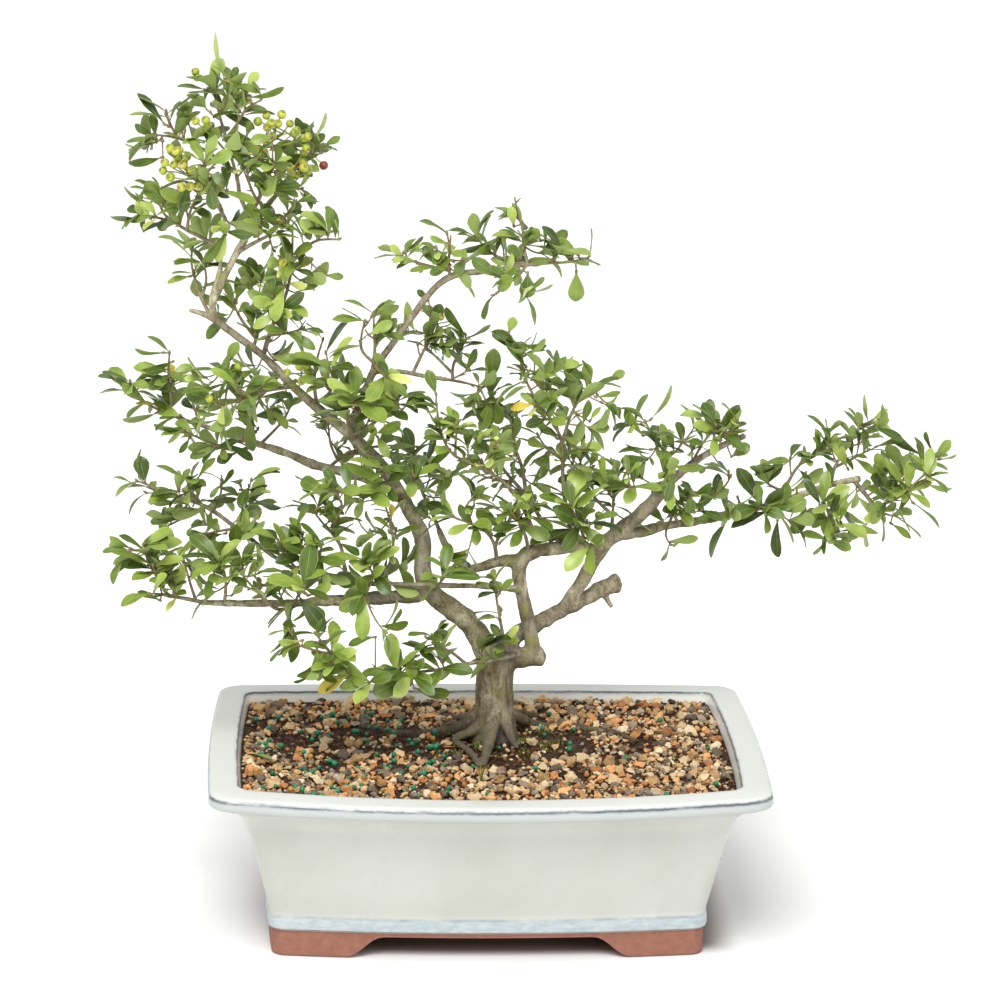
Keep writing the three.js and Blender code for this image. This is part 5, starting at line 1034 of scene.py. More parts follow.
class Parts:
    """Meshes gathered into one, in millimetres, with a slot and attributes for each face."""

    def __init__(self):
        self.vertices = []
        self.faces = []
        self.slots = []
        self.attributes = {}
        self.uvs = []
        self.count = 0

    def add(self, vertices, faces, slot=0, uvs=None, **attributes):
        self.vertices.append(vertices)
        self.faces += [tuple(corner + self.count for corner in face) for face in faces]
        self.slots += [slot] * len(faces)
        for face in faces:
            self.uvs += [uvs[corner] if uvs is not None else (0.5, 0.5) for corner in face]
        for name, value in attributes.items():
            values = self.attributes.setdefault(name, [])
            values += [0] * (len(self.faces) - len(faces) - len(values))
            values += list(value) if np.ndim(value) else [value] * len(faces)
        self.count += len(vertices)

    def build(self, name, materials, sharp_angle=50):
        mesh = bpy.data.meshes.new(name)
        mesh.from_pydata(in_frame(np.vstack(self.vertices)).tolist(), [], self.faces)
        mesh.polygons.foreach_set("material_index", self.slots)
        mesh.polygons.foreach_set("use_smooth", [True] * len(self.faces))
        for key, values in self.attributes.items():
            values += [0] * (len(self.faces) - len(values))
            mesh.attributes.new(key, "FLOAT", "FACE").data.foreach_set("value", values)
        layer = mesh.uv_layers.new(name="UVMap")
        layer.data.foreach_set("uv", np.array(self.uvs, float).ravel())
        mesh.update()
        mesh.set_sharp_from_angle(angle=radians(sharp_angle))
        for material in materials:
            mesh.materials.append(material)
        return put_in_scene(name, mesh)


def select_only(piece):
    bpy.ops.object.select_all(action="DESELECT")
    piece.select_set(True)
    bpy.context.view_layer.objects.active = piece


def apply_modifier(piece, kind, **settings):
    select_only(piece)
    modifier = piece.modifiers.new(kind.title(), kind)
    for setting, value in settings.items():
        setattr(modifier, setting, value)
    bpy.ops.object.modifier_apply(modifier=modifier.name)


def mount(piece, slot, *nodes):
    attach(piece, "root")
    if nodes:
        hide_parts(*nodes)
    return piece


def vertex_places(mesh):
    places = np.empty(3 * len(mesh.vertices))
    mesh.vertices.foreach_get("co", places)
    return places.reshape(-1, 3)


def move_along_normals(mesh, amounts):
    normals = np.empty(3 * len(mesh.vertices))
    mesh.vertices.foreach_get("normal", normals)
    places = vertex_places(mesh) + normals.reshape(-1, 3) * np.asarray(amounts)[:, None]
    mesh.vertices.foreach_set("co", places.ravel())
    mesh.update()


# Trunk, limbs and roots

KNOTS = [
    ("trunk", 6, 3.5, 5), ("left_limb", 9, 2.2, 3), ("mid_limb", 6, 2.4, 3), ("right_limb", 9, 2.8, 3),
    ("stub", 3, 3.4, 3),
]

# Limbs that end in a saw cut, with the radius of the swollen bark around it.
SAWN_LIMBS = [("stub", 5.7), ("right_limb", 2.9), ("far_limb", 2.5), ("stub_nub", 1.7)]


def make_wood(bark, cut_wood):
    """One skin over all the limbs, with ridged bark, knobs where limbs fork and sawn ends."""
    random = seeded_random(11)
    parts, faces = Parts(), Parts()
    for rows in LIMBS.values():
        points, radii = smooth_path([seen_at(*row[:3]) for row in rows], [row[3] for row in rows])
        swell = [1 + 0.07 * (random() - 0.5) for _ in points]
        parts.add(*tube(points, radii * swell, 14 if rows[0][3] > 4 else 10, 0.35))
    for limb, number, radius, count in KNOTS:
        *place, limb_radius = LIMBS[limb][number]
        for _ in range(count):
            away = unit(any_direction(random))
            middle = seen_at(*place) + away * limb_radius * 0.75
            along = away * radius * 0.35
            parts.add(*tube(np.array([middle - along, middle, middle + along]),
                            [radius * 0.6, radius * 0.8, radius * 0.55], 10, 0.7))
    for limb, radius in SAWN_LIMBS:
        before, end = (seen_at(*row[:3]) for row in LIMBS[limb][-2:])
        along = unit(end - before)
        face = end + along * radius * 0.3
        parts.add(*tube(np.array([end - along * radius * 0.5, end, face]),
                        [radius * 0.85, radius, radius * 0.9], 16, 0))
        faces.add(*tube(np.array([face - along * 0.9, face + along * 0.25]),
                        [radius * 0.72, radius * 0.66], 18, 0.05))
    wood = parts.build("trunk_and_limbs", [bark])
    apply_modifier(wood, "REMESH", mode="VOXEL", voxel_size=WOOD_VOXEL * MM, use_smooth_shade=True)
    apply_modifier(wood, "SMOOTH", factor=0.5, iterations=4)
    places = vertex_places(wood.data)
    thick = np.clip(nearest_limb_radius(places) / 6, 0.25, 1)
    move_along_normals(wood.data, np.array([bark_relief(place) for place in places]) * thick * MM)
    mount(faces.build("sawn_ends", [cut_wood]), "bark")
    return mount(wood, "bark", "trunk")


def bark_relief(place):
    """How far the bark stands out, in millimetres: ridges and flutes run up the limb."""
    at = Vector(place) / MM
    ridges = noise.noise(Vector((at.x * 0.45, at.y * 0.45, at.z * 0.16)))
    grain = noise.noise(at * 0.9)
    lumps = noise.noise(at * 0.11)
    flutes = noise.noise(Vector((at.x * 0.2, at.y * 0.2, at.z * 0.04)))
    return 0.35 * ridges + 0.18 * grain + 0.6 * lumps + 1.1 * flutes * (at.z < FLUTES_END)


def nearest_limb_radius(places):
    """How thick the wood is near each place, in millimetres."""
    centres, radii = (np.array(values)[::2] for values in zip(*limb_balls()))
    centres = in_frame(centres)
    nearest = np.empty(len(places), int)
    for start in range(0, len(places), 4000):
        part = places[start:start + 4000]
        away = ((part[:, None, :] - centres[None, :, :]) ** 2).sum(2)
        nearest[start:start + 4000] = away.argmin(1)
    return radii[nearest]


# Leafy sprays

BLADE_STATIONS = (0.13, 0.3, 0.5, 0.68, 0.83, 0.94)
UPPER_ACROSS = (-1, -0.5, 0, 0.5, 1)


def blade_template():
    """One leaf blade, flat: its places (share along, share across, side) and faces.

    The upper side has a column at half width on each side of the midrib, and the underside only its midrib.
    """
    places = [(0, 0, 0)]
    rows = []
    for share in BLADE_STATIONS:
        rows.append(range(len(places), len(places) + 6))
        places += [(share, across, 0.5 if abs(across) == 1 else 1) for across in UPPER_ACROSS]
        places.append((share, 0, 0))
    tip = len(places)
    places.append((1, 0, 0.5))
    first, last = rows[0], rows[-1]
    faces = []
    for k in range(4):
        faces += [(0, first[k + 1], first[k]), (tip, last[k], last[k + 1])]
    under = [0] * len(faces)
    for low, high in zip(rows, rows[1:]):
        faces += [(low[k], low[k + 1], high[k + 1], high[k]) for k in range(4)]
        faces += [(low[0], high[0], high[5], low[5]), (low[5], high[5], high[4], low[4])]
        under += [0, 0, 0, 0, 1, 1]
    faces += [(0, first[0], first[5]), (0, first[5], first[4])]
    faces += [(tip, last[5], last[0]), (tip, last[4], last[5])]
    under += [1, 1, 1, 1]
    return np.array(places, float), faces, under


def leaf_width(share):
    """Half width along the blade: a narrow stalk end, widest past the middle, round at the tip."""
    body = np.sin(np.pi * np.clip(share, 0, 1) ** 1.7).clip(0) ** 0.7
    return np.where(share < 0.02, 0, np.maximum(body, 0.09 * (share < 0.9)))


def add_leaf(parts, leaf, shift, blade, slot=0):
    places, faces, under = blade
    random = seeded_random(leaf.seed + 31)
    wave, fold = 0.5 + 0.5 * random(), LEAF_FOLD * (0.4 + 1.2 * random())
    phase = 6 * random()
    share, across, side = places.T
    width = leaf_width(share)
    width = width * (leaf.width or 0.66 + 0.33 * random())
    half = 0.5 * LEAF_WIDTH * leaf.length * width
    lift = fold * np.abs(across) * half + wave * 0.35 * np.abs(across) * np.sin(9 * share + phase + across)
    thick = LEAF_THICKNESS * (side - 0.5) * np.where(width > 0.15, 1, 0.8)
    points = leaf.points(share, across, lift + thick, width) + shift
    if leaf.width is None:
        points = leaf.root + shift + (points - leaf.root - shift) * LEAF_STRETCH
    tone = 0.1 + 0.6 * random() + (0.3 if leaf.ring >= 3 and leaf.rosette == 0 else 0)
    if leaf.tone is not None:
        tone = leaf.tone
    if random() < YELLOW_SHARE:
        tone = YELLOW_TONE
    parts.add(points, faces, slot, np.column_stack([across / 2 + 0.5, share]), tone=tone, under=under)


def nearest_shift(points, place):
    """How far a place on the straight path moves when it goes to the smoothed one."""
    starts, ends = points[:-1], points[1:]
    spans = ends - starts
    share = np.clip(((place - starts) * spans).sum(1) / (spans ** 2).sum(1), 0, 1)
    feet = starts + spans * share[:, None]
    return feet[((feet - place) ** 2).sum(1).argmin()] - place


def make_spray(name, twigs, leaf_finish, twig_finish, blade):
    parts = Parts()
    for number, (twig, leaves) in enumerate(twigs):
        random = seeded_random(5000 + number)
        points, radii = smooth_path(twig.points, twig.radii)
        radii = radii * [1 + 0.16 * (random() - 0.5) for _ in radii]
        ages = np.clip((radii - 0.5) / 1.4, 0, 1)
        vertices, faces = tube(points, radii, 7)
        age = [ages[min(min(face) // 7, len(ages) - 1)] for face in faces]
        parts.add(vertices, faces, 1, tone=age)
        add_buds(parts, twig, leaves, points, random)
        for leaf in leaves:
            add_leaf(parts, leaf, nearest_shift(points, leaf.root), blade)
    spray = parts.build(name + "_spray", [leaf_finish, twig_finish], 55)
    return mount(spray, "leaf", name)


def add_buds(parts, twig, leaves, points, random):
    """Short woody spurs under the rosettes, and a few bare ones in between."""
    for rosette in {leaf.rosette for leaf in leaves}:
        leaf = next(leaf for leaf in leaves if leaf.rosette == rosette)
        root = leaf.root + nearest_shift(points, leaf.root)
        parts.add(*tube(np.array([root - leaf.axis * 0.6, root + leaf.axis * 0.9, root + leaf.axis * 1.9]),
                        [0.75, 0.8, 0.45], 6), 1, tone=0.3)
    for _ in range(round(twig.length / 26)):
        place, along = point_along(points, 0.15 + 0.75 * random())
        out = unit(np.cross(along, [random() - 0.5, random() - 0.5, random() - 0.5]) + along * 0.4)
        reach = 2.5 + 5 * random()
        parts.add(*tube(np.array([place, place + out * reach * 0.5, place + out * reach]),
                        [0.6, 0.42, 0.16], 5), 1, tone=0.35)


# Berries

EXTRA_BERRIES = 0.9
SINGLE_BERRIES = [
    (-162, 476, 0.2), (-161, 473, 0.4), (-139, 312, 0.3), (-155, 294, 0.4), (26, 238, 0.5), (28, 232, 0.7),
    (63, 228, 0.4), (63, 222, 0.6), (-27, 341, 0.7), (-105, 425, 2), (-92, 425, 2),
]


def berry_template():
    """A berry of radius 1 with its stalk end at -Z and a dimple with five sepals at +Z."""
    rings, sides = 8, 12
    turns = 2 * pi * np.arange(sides) / sides
    vertices = []
    for ring in range(1, rings + 1):
        angle = pi * ring / (rings + 1)
        height = -cos(angle) * 0.93 - (0.1 if ring == rings else 0)
        radius = sin(angle)
        vertices += [(radius * cos(turn), radius * sin(turn), height) for turn in turns]
    vertices += [(0, 0, -0.93), (0, 0, 0.7)]
    flesh, crown = closed_faces(rings, sides), []
    for sepal in range(5):
        turn = 2 * pi * sepal / 5
        out = np.array([cos(turn), sin(turn), 0])
        across = np.array([-sin(turn), cos(turn), 0])
        start = len(vertices)
        vertices += [out * 0.12 + across * 0.16 + UP * 0.74, out * 0.12 - across * 0.16 + UP * 0.74,
                     out * 0.6 + UP * 1.06, out * 0.18 + UP * 0.62]
        corners = (0, 1, 2), (0, 2, 3), (1, 3, 2), (0, 3, 1)
        crown += [tuple(start + corner for corner in face) for face in corners]
    return np.array(vertices, float), flesh, crown


def turn_to(direction, spin):
    """Columns that carry +Z to the direction."""
    up = unit(direction)
    side = unit(np.cross(up, [0.3, 0.9, 0.2]))
    other = np.cross(up, side)
    first = side * cos(spin) + other * sin(spin)
    return np.column_stack([first, np.cross(up, first), up])


def add_berry(parts, template, random, fork, berry, ripe):
    """A berry on a thin bowed stem."""
    vertices, flesh, crown = template
    out = unit(berry - fork)
    bow = unit(np.cross(out, any_direction(random))) * 0.08
    span = norm(berry - fork)
    stem = np.array([fork, fork + (out * 0.5 + bow) * span, berry - out * BERRY_RADIUS * 0.8])
    stem, thin = smooth_path(stem, [0.42, 0.34, 0.38], 1)
    parts.add(*tube(stem, thin, 6), 1, tone=BERRY_STEM_TONE)
    size = BERRY_RADIUS * (1 + 0.2 * random())
    lean = turn_to(out + np.array([0.3, 0, 0.2]) * (random() - 0.5), 6 * random())
    placed = vertices @ lean.T * size + berry
    parts.add(placed, flesh, 0, vertices[:, 1:] * 0.5 + 0.5, tone=ripe)
    parts.add(placed, crown, 1, tone=SEPAL_TONE)


def make_single_berries(sprays, skin, stalks, template):
    """Berries that grow one by one, each from the nearest twig."""
    random = seeded_random(7100)
    parts = Parts()
    for x, z, ripe in SINGLE_BERRIES:
        *_, at = nearest_twig(sprays, x, z)
        berry = seen_at(x, z, at[1] - TRUNK_PLANE_Y - 4)
        add_berry(parts, template, random, at, berry, ripe)
    return mount(parts.build("single_berries", [skin, stalks]), "berry")


def make_bunch(name, bunch, number, skin, stalks, template):
    random = seeded_random(7000 + number)
    parts = Parts()
    points, radii = smooth_path(bunch.stalk, [STALK_RADIUS * 1.1] * len(bunch.stalk))
    parts.add(*tube(points, radii, 6), 1, tone=STALK_TONE)
    forks, berries = list(bunch.forks), list(bunch.berries)
    for _ in range(round(len(berries) * EXTRA_BERRIES)):
        near = berries[int(random() * len(bunch.berries))]
        away = unit(np.array([random() - 0.5, random() - 0.7, random() - 0.4])) * (4.9 + 1.5 * random())
        if min(norm(near + away - other) for other in berries) > 4.6:
            berries.append(near + away)
            forks.append(forks[int(random() * len(bunch.forks))])
    for fork, berry in zip(forks, berries):
        add_berry(parts, template, random, fork, berry, random())
    return mount(parts.build(name + "_fruit", [skin, stalks]), "berry", name)


# Pot

# Half length of the pot against height, outside and inside, and the shape of the foot's inner wall
OUTER_PROFILE = [
    (121.2, 0), (122, 0.8), (122, 8), (122, 14.6), (122.5, 15.3), (123.5, 16.2), (123.8, 18), (123.8, 21),
    (123.4, 22.6), (122.9, 24), (123.3, 26.5), (124.4, 31), (126, 38), (128, 47), (130.4, 58), (133, 69),
    (135.2, 76.5), (138, 83), (141.6, 87), (145.8, 90.2), (149.8, 92.4), (153.2, 93.6), (154.8, 94.6),
    (155.5, 96), (155.5, 98.4), (155.1, 99.9), (154.2, 101.1), (152.8, 101.8), (151, 102),
]
LIP_PROFILE = [(147, 102.15), (143, 102.2), (140.4, 102), (139.3, 101.4), (138.9, 100.2)]
INNER_PROFILE = [(138.4, 98.6), (137.6, 95.5), (136.5, 92), (131.5, 79), (125, 64), (120, 44), (115, 25),
                 (113, 22), (108, 20)]
PROFILE_START = [(BASE_HALF_LENGTH - FOOT_WALL - 1, UNDERSIDE_HEIGHT), (BASE_HALF_LENGTH - FOOT_WALL, 0.8),
                 (BASE_HALF_LENGTH - FOOT_WALL + 0.8, 0)]


def pot_ring(half_length, z, corner=None):
    """Bowed rectangle with round corners, whose long sides hang down a little in the middle."""
    rise = (half_length - BASE_HALF_LENGTH) / (RIM_HALF_LENGTH - BASE_HALF_LENGTH)
    base_loss = BASE_HALF_LENGTH - BASE_HALF_WIDTH
    half_width = half_length - base_loss - rise * (RIM_HALF_LENGTH - RIM_HALF_WIDTH - base_loss)
    corner = corner if corner is not None else BASE_CORNER + rise * (OUTER_CORNER - BASE_CORNER)
    long_bow = LONG_BOW + rise
    corner_x, corner_y = half_length - SHORT_BOW - corner, half_width - long_bow - corner
    quarter = []
    for share in np.linspace(0, 1, 14):
        quarter.append((corner_x * share, half_width - long_bow * share ** 2))
    for share in np.linspace(0, 1, 9)[1:-1]:
        turn = pi / 2 * (1 - share)
        quarter.append((corner_x + corner * cos(turn), corner_y + corner * sin(turn)))
    for share in np.linspace(1, 0, 9):
        quarter.append((half_length - SHORT_BOW * share ** 2, corner_y * share))
    ring = []
    for sign_x, sign_y in ((1, 1), (1, -1), (-1, -1), (-1, 1)):
        part = quarter if sign_x == sign_y else quarter[::-1]
        ring += [(sign_x * x, sign_y * y) for x, y in part[:-1]]
    ring = np.array(ring[::-1])
    hang = RIM_SAG - RIM_SAG_SKEW * ring[:, 1] / half_width
    drop = smooth_step(z, 50, POT_HEIGHT - 8) * hang * (1 - (ring[:, 0] / half_length) ** 2)
    return np.column_stack([ring, z - drop])


def loft(rings):
    """Closed skin over a stack of rings: its vertices and faces."""
    count = len(rings[0])
    last = (len(rings) - 1) * count
    caps = [tuple(range(count))[::-1], tuple(range(last, last + count))]
    return np.vstack(rings), ring_faces(len(rings), count) + caps


def lofted(name, rings, materials=(), sharp_angle=50):
    parts = Parts()
    parts.add(*loft(rings))
    return parts.build(name, materials, sharp_angle)


def foot_arch(half, through, along_x):
    """Bar that cuts the arched gap under one pair of sides."""
    pulls = [(half, 0), (half - ARCH_END * 0.5, 0), (half - ARCH_END * 0.6, ARCH_HEIGHT),
             (half - ARCH_END, ARCH_HEIGHT)]
    curve = []
    for share in np.linspace(0, 1, 9):
        left = 1 - share
        weights = (left ** 3, 3 * left ** 2 * share, 3 * left * share ** 2, share ** 3)
        curve.append([sum(weight * pull[axis] for weight, pull in zip(weights, pulls)) for axis in (0, 1)])
    outline = [(-half, -5), (half, -5), (half, 0), *curve[1:]]
    outline += [(-x, z) for x, z in curve[::-1]]
    return lofted("arch_cutter", [np.array([(x, place, z) if along_x else (-place, x, z) for x, z in outline])
                                  for place in (-through / 2, through / 2)])


def post_cutter(name, x, low, high, corners):
    """Upright bar through an outline of x and y, which are measured from the bar's middle."""
    return lofted(name, [np.array([(x + a, b, z) for a, b in corners]) for z in (low, high)])


def face_outward(piece):
    select_only(piece)
    bpy.ops.object.mode_set(mode="EDIT")
    bpy.ops.mesh.select_all(action="SELECT")
    bpy.ops.mesh.normals_make_consistent(inside=False)
    bpy.ops.object.mode_set(mode="OBJECT")


def cut(piece, cutters):
    for cutter in cutters:
        face_outward(cutter)
        apply_modifier(piece, "BOOLEAN", operation="DIFFERENCE", solver="EXACT", object=cutter)
        bpy.data.objects.remove(cutter)


def pot_profile():
    """The pot's whole profile from under the foot to the inside floor, and how far along it each point is."""
    profile = PROFILE_START + OUTER_PROFILE + LIP_PROFILE + INNER_PROFILE
    steps = [hypot(half - before, z - low) for (before, low), (half, z) in zip(profile, profile[1:])]
    return profile, [0, *accumulate(steps)]


def make_pot(glaze, profile, along):
    inside_from = len(PROFILE_START) + len(OUTER_PROFILE)
    rings = []
    for number, (half, z) in enumerate(profile):
        if number < inside_from - 1:
            corner = None
        elif number < inside_from + 3:
            corner = OUTER_CORNER - (OUTER_CORNER - INNER_CORNER - 3) * (number - inside_from + 1) / 4
        else:
            corner = INNER_CORNER + 3 * max(0, (inside_from + 6 - number) / 6)
        rings.append(pot_ring(half, z, corner))
    vertices, faces = loft(rings)
    edge = np.vstack([rings[0][-1:], rings[0]])
    around = np.cumsum(norm(np.diff(edge, axis=0), axis=1))
    parts = Parts()
    parts.add(vertices, faces, 0, np.array([(across, up) for up in along for across in around]))
    pot = parts.build("glazed_pot", [glaze], 40)
    face_outward(pot)
    turns = np.linspace(0, 2 * pi, 33)[:-1]
    circle = [(DRAIN_RADIUS * cos(turn), DRAIN_RADIUS * sin(turn)) for turn in turns]
    cut(pot, [foot_arch(LONG_ARCH_HALF, 4 * BASE_HALF_WIDTH, True),
              foot_arch(SHORT_ARCH_HALF, 4 * BASE_HALF_LENGTH, False)]
        + [post_cutter("drain_cutter", side * DRAIN_X, -5, 4 * FLOOR_TOP, circle) for side in (-1, 1)])
    pot.data.set_sharp_from_angle(angle=radians(40))
    return mount(pot, "glaze", "pot")


# Soil, gravel and what lies on it


def soil_height(x, y):
    away = np.hypot(x - TRUNK_X, y - TRUNK_PLANE_Y)
    return SOIL_TOP + SOIL_MOUND * np.exp(-((away / 45) ** 2))


def make_soil(earth):
    inner = [(half - 0.5, z + SEAT_GAP) for half, z in INNER_PROFILE[1:]][::-1]
    inner[0] = (inner[0][0], FLOOR_TOP + SEAT_GAP)
    rings = [pot_ring(half, z, INNER_CORNER) for half, z in inner]
    rim = pot_ring(136.9, SOIL_TOP - 1, INNER_CORNER)
    for share in np.linspace(1, 0.02, 60):
        ring = rim.copy()
        ring[:, :2] *= share
        ring[:, 2] = [soil_height(x, y) - 1.6 + 1.1 * noise.noise(Vector((x * 0.07, y * 0.07, 0)))
                      + 0.5 * noise.noise(Vector((x * 0.33, y * 0.33, 4))) for x, y in ring[:, :2]]
        rings.append(ring)
    soil = lofted("soil_bed", rings, [earth], 70)
    face_outward(soil)
    half = SCREEN_RECESS / 2
    square = [(-half, -half), (half, -half), (half, half), (-half, half)]
    cut(soil, [post_cutter("screen_cutter", side * DRAIN_X, FLOOR_TOP - 5, FLOOR_TOP + 1.9, square)
               for side in (-1, 1)])
    return mount(soil, "soil", "soil")


def rock_template(number):
    """A pebble about 2 across: an icosphere squashed, with a few sides cut flat."""
    bpy.ops.mesh.primitive_ico_sphere_add(subdivisions=2, radius=1)
    rock = bpy.context.object
    random = seeded_random(300 + number)
    places = vertex_places(rock.data)
    for _ in range(9):
        side = unit(any_direction(random))
        depth = 0.46 + 0.3 * random()
        places -= (places @ side - depth).clip(0)[:, None] * side
    places *= [1, 0.72 + 0.2 * random(), 0.55 + 0.2 * random()]
    lumps = [noise.noise(Vector(place) * 2.1 + Vector((number, 0, 0))) * 0.3 for place in places]
    faces = [tuple(face.vertices) for face in rock.data.polygons]
    bpy.data.objects.remove(rock)
    return places + np.array(lumps)[:, None], faces


def in_pot(x, y, margin):
    """True where the soil shows, leaving a margin along the pot's inner wall."""
    half_length, half_width = SOIL_HALF_LENGTH - margin, SOIL_HALF_WIDTH - margin
    if abs(x) > half_length or abs(y) > half_width:
        return False
    bow_y = half_width - 8 * (x / half_length) ** 2
    bow_x = half_length - SHORT_BOW * (y / half_width) ** 2
    return abs(y) < bow_y and abs(x) < bow_x


def gravel_share(x, y):
    """How densely gravel covers the soil: thick at the edges, thin by the trunk and in front of it."""
    away = hypot((x - TRUNK_X) * 0.8, y - 5)
    bare = exp(-((away / 34) ** 2)) + 0.8 * exp(-(((x + 78) / 52) ** 2 + ((y - 16) / 52) ** 2))
    bare += 0.9 * exp(-(((x - 50) / 46) ** 2 + ((y - 2) / 22) ** 2))
    patch = 1.1 * noise.noise(Vector((x * 0.05, y * 0.05, 9)))
    return min(max(0.78 - bare + patch, 0.06), 0.8)


def make_gravel(finishes, crumb_finish):
    """Gravel of four colours, strewn at random, smaller stones between larger ones, and crumbs of soil."""
    random = seeded_random(2024)
    templates = [rock_template(number) for number in range(ROCK_SHAPES)]
    names = list(finishes)
    finishes["soil_crumbs"] = crumb_finish
    groups = {name: Parts() for name in finishes}
    taken = Crowd()
    taken.add([(at, radius * 0.9) for at, radius in limb_balls() if at[2] < SOIL_TOP + 12], "wood")
    for low, high, tries in GRAVEL_SIZES:
        for _ in range(tries):
            x, y = (random() * 2 - 1) * STREWN_LENGTH, (random() * 2 - 1) * STREWN_WIDTH
            radius = low + (high - low) * random() ** 1.5
            kind = random()
            spin, lean, which = 6.3 * random(), random() - 0.5, int(random() * ROCK_SHAPES)
            keep = random()
            if not in_pot(x, y, radius * 0.8) or keep > gravel_share(x, y):
                continue
            at = np.array([x, y, soil_height(x, y) - 0.9 + radius * 0.32])
            if not taken.is_clear([(at, radius * 0.62)], "gravel", 0):
                continue
            taken.add([(at, radius * 0.62)], (x, y))
            name = names[sum(kind > share for share in GRAVEL_SHARES)]
            places, faces = templates[which]
            turned = places @ turn_to(np.array([lean * 0.8, (random() - 0.5) * 0.8, 1]), spin).T
            groups[name].add(turned * radius + at, faces, 0, tone=random())
    for _ in range(CRUMB_TRIES):
        x, y = (random() * 2 - 1) * STREWN_LENGTH, (random() * 2 - 1) * STREWN_WIDTH
        radius, which, spin = 0.6 + 1.3 * random() ** 2, int(random() * ROCK_SHAPES), 6.3 * random()
        keep, tone = random(), random()
        at = np.array([x, y, soil_height(x, y) - 1.4 + radius * 0.7])
        if not in_pot(x, y, radius) or keep < gravel_share(x, y):
            continue
        if taken.is_clear([(at, radius * 0.5)], "", 0):
            places, faces = templates[which]
            turned = places @ turn_to(np.array([0.2, 0.1, 1]), spin).T
            groups["soil_crumbs"].add(turned * radius + at, faces, 0, tone=tone)
    for name, parts in groups.items():
        mount(parts.build(name, [finishes[name]], 24), "soil")


def make_pellets(finish):
    """Round slow-release feed pellets, green with a few amber ones, most of them left of the trunk."""
    random = seeded_random(77)
    parts = Parts()
    for _ in range(PELLET_TRIES):
        left = random() < 0.8
        x = -132 + 110 * random() if left else -30 + 160 * random()
        y = -94 + 165 * random() ** 1.4
        amber = random() < 0.16
        size = 1.2 + 0.6 * random()
        if not in_pot(x, y, 3):
            continue
        z = soil_height(x, y) + 1.3
        rings = []
        for rise in (-1, -0.4, 0.4, 1):
            reach, level = size * cos(rise), z + size * sin(rise)
            rings.append([(x + reach * cos(turn), y + reach * sin(turn), level) for turn in PELLET_TURNS])
        parts.add(*loft(rings), 0, tone=1 if amber else 0.4 * random())
    return mount(parts.build("feed_pellets", [finish], 80), "soil")


def make_moss(finish):
    """Moss by the foot of the trunk: small tufts of short leaves, and a grass sprout."""
    random = seeded_random(88)
    parts = Parts()
    for _ in range(MOSS_TRIES):
        turn, reach = 6.2832 * random(), 12 + 36 * random() ** 1.6
        x, y = TRUNK_X + reach * cos(turn), TRUNK_PLANE_Y + 0.8 * reach * sin(turn) - 6
        if noise.noise(Vector((x * 0.1, y * 0.1, 2))) < 0.12:
            continue
        root = np.array([x, y, soil_height(x, y) - 0.4])
        add_spike(parts, root, 1.4 + 1.8 * random(), 0.35, random, 0.9)
    for _ in range(4):
        root = np.array([-6 + 2 * random(), -66 + 2 * random(), SOIL_TOP - 0.5])
        add_spike(parts, root, 11 + 7 * random(), 0.5, random, 0.45)
    return mount(parts.build("moss", [finish], 60), "leaf")


def add_spike(parts, root, height, radius, random, spread):
    lean = np.array([(random() - 0.5) * spread, (random() - 0.5) * spread, 1])
    points = np.array([root, root + lean * height * 0.5, root + (lean + [lean[0], lean[1], -0.2]) * height])
    parts.add(*tube(points, [radius, radius * 0.8, radius * 0.15], 4), 0, tone=random())


def make_litter(leaf_finish, dry_finish, blade):
    """One green leaf and a few dry ones that have fallen on the soil."""
    parts = Parts()
    for seed, (x, y, length, heading, dry) in enumerate(FALLEN_LEAVES, 40):
        direction = unit(np.array([cos(heading), sin(heading), 0.12]))
        face = unit(np.cross(direction, np.cross([0.1, 0.2, 1.0], direction)))
        root = np.array([x, y, soil_height(x, y) + 2.4])
        leaf = Leaf(seed, root, direction, face, length, 0.35 + 0.5 * dry, tone=0.5, width=1)
        add_leaf(parts, leaf, np.zeros(3), blade, dry)
    return mount(parts.build("fallen_leaves", [leaf_finish, dry_finish], 55), "leaf")


# Finishes


def leaf_finish():
    leaf = Finish("leaf_green", Specular_IOR_Level=0.45)
    place, tone, under = leaf.place(), leaf.attribute("tone"), leaf.attribute("under")
    across, along = leaf.uv()
    side = (across - 0.5).size() * 2
    patch = leaf.noise(place, 0.09, 2)
    fine = leaf.noise(place, 0.9, 3)
    green = leaf.ramp(tone + (patch - 0.5) * 0.5, [
        (0.0, (44, 62, 12)), (0.3, (84, 106, 32)), (0.6, (134, 155, 62)), (0.88, (174, 190, 96)),
        (1.0, (196, 202, 112))])
    vein = side.near(0, 0.11) * (1 - along * 0.4)
    slant = along * 9 - side * 2.4
    branch = slant.maths("PINGPONG", slant, 0.5).near(0, 0.16) * 0.25
    back = leaf.mix(patch, (158, 174, 104), (130, 150, 78))
    colour = leaf.coats(
        green,
        ((fine - 0.5).size() * 0.6, (84, 108, 40)),
        (vein * 0.55 + branch * 0.3, (188, 200, 132)),
        (side.between(0.86, 1) * 0.35, (196, 204, 136)),
        (under * 0.85, back),
        (tone.between(1.2, 1.4), (200, 180, 72)))
    height = vein * -0.6 - branch * 0.5 + fine * 0.15
    return leaf.finish(colour, 0.29 + under * 0.3 + patch * 0.12, height, 0.22, 0.6)


def dry_leaf_finish():
    leaf = Finish("leaf_dry")
    spots = leaf.noise(leaf.place(), 0.35, 4)
    colour = leaf.ramp(spots, [(0.3, (120, 70, 36)), (0.5, (176, 116, 62)), (0.7, (196, 150, 92))])
    return leaf.finish(colour, 0.7, spots, 0.3, 0.5)


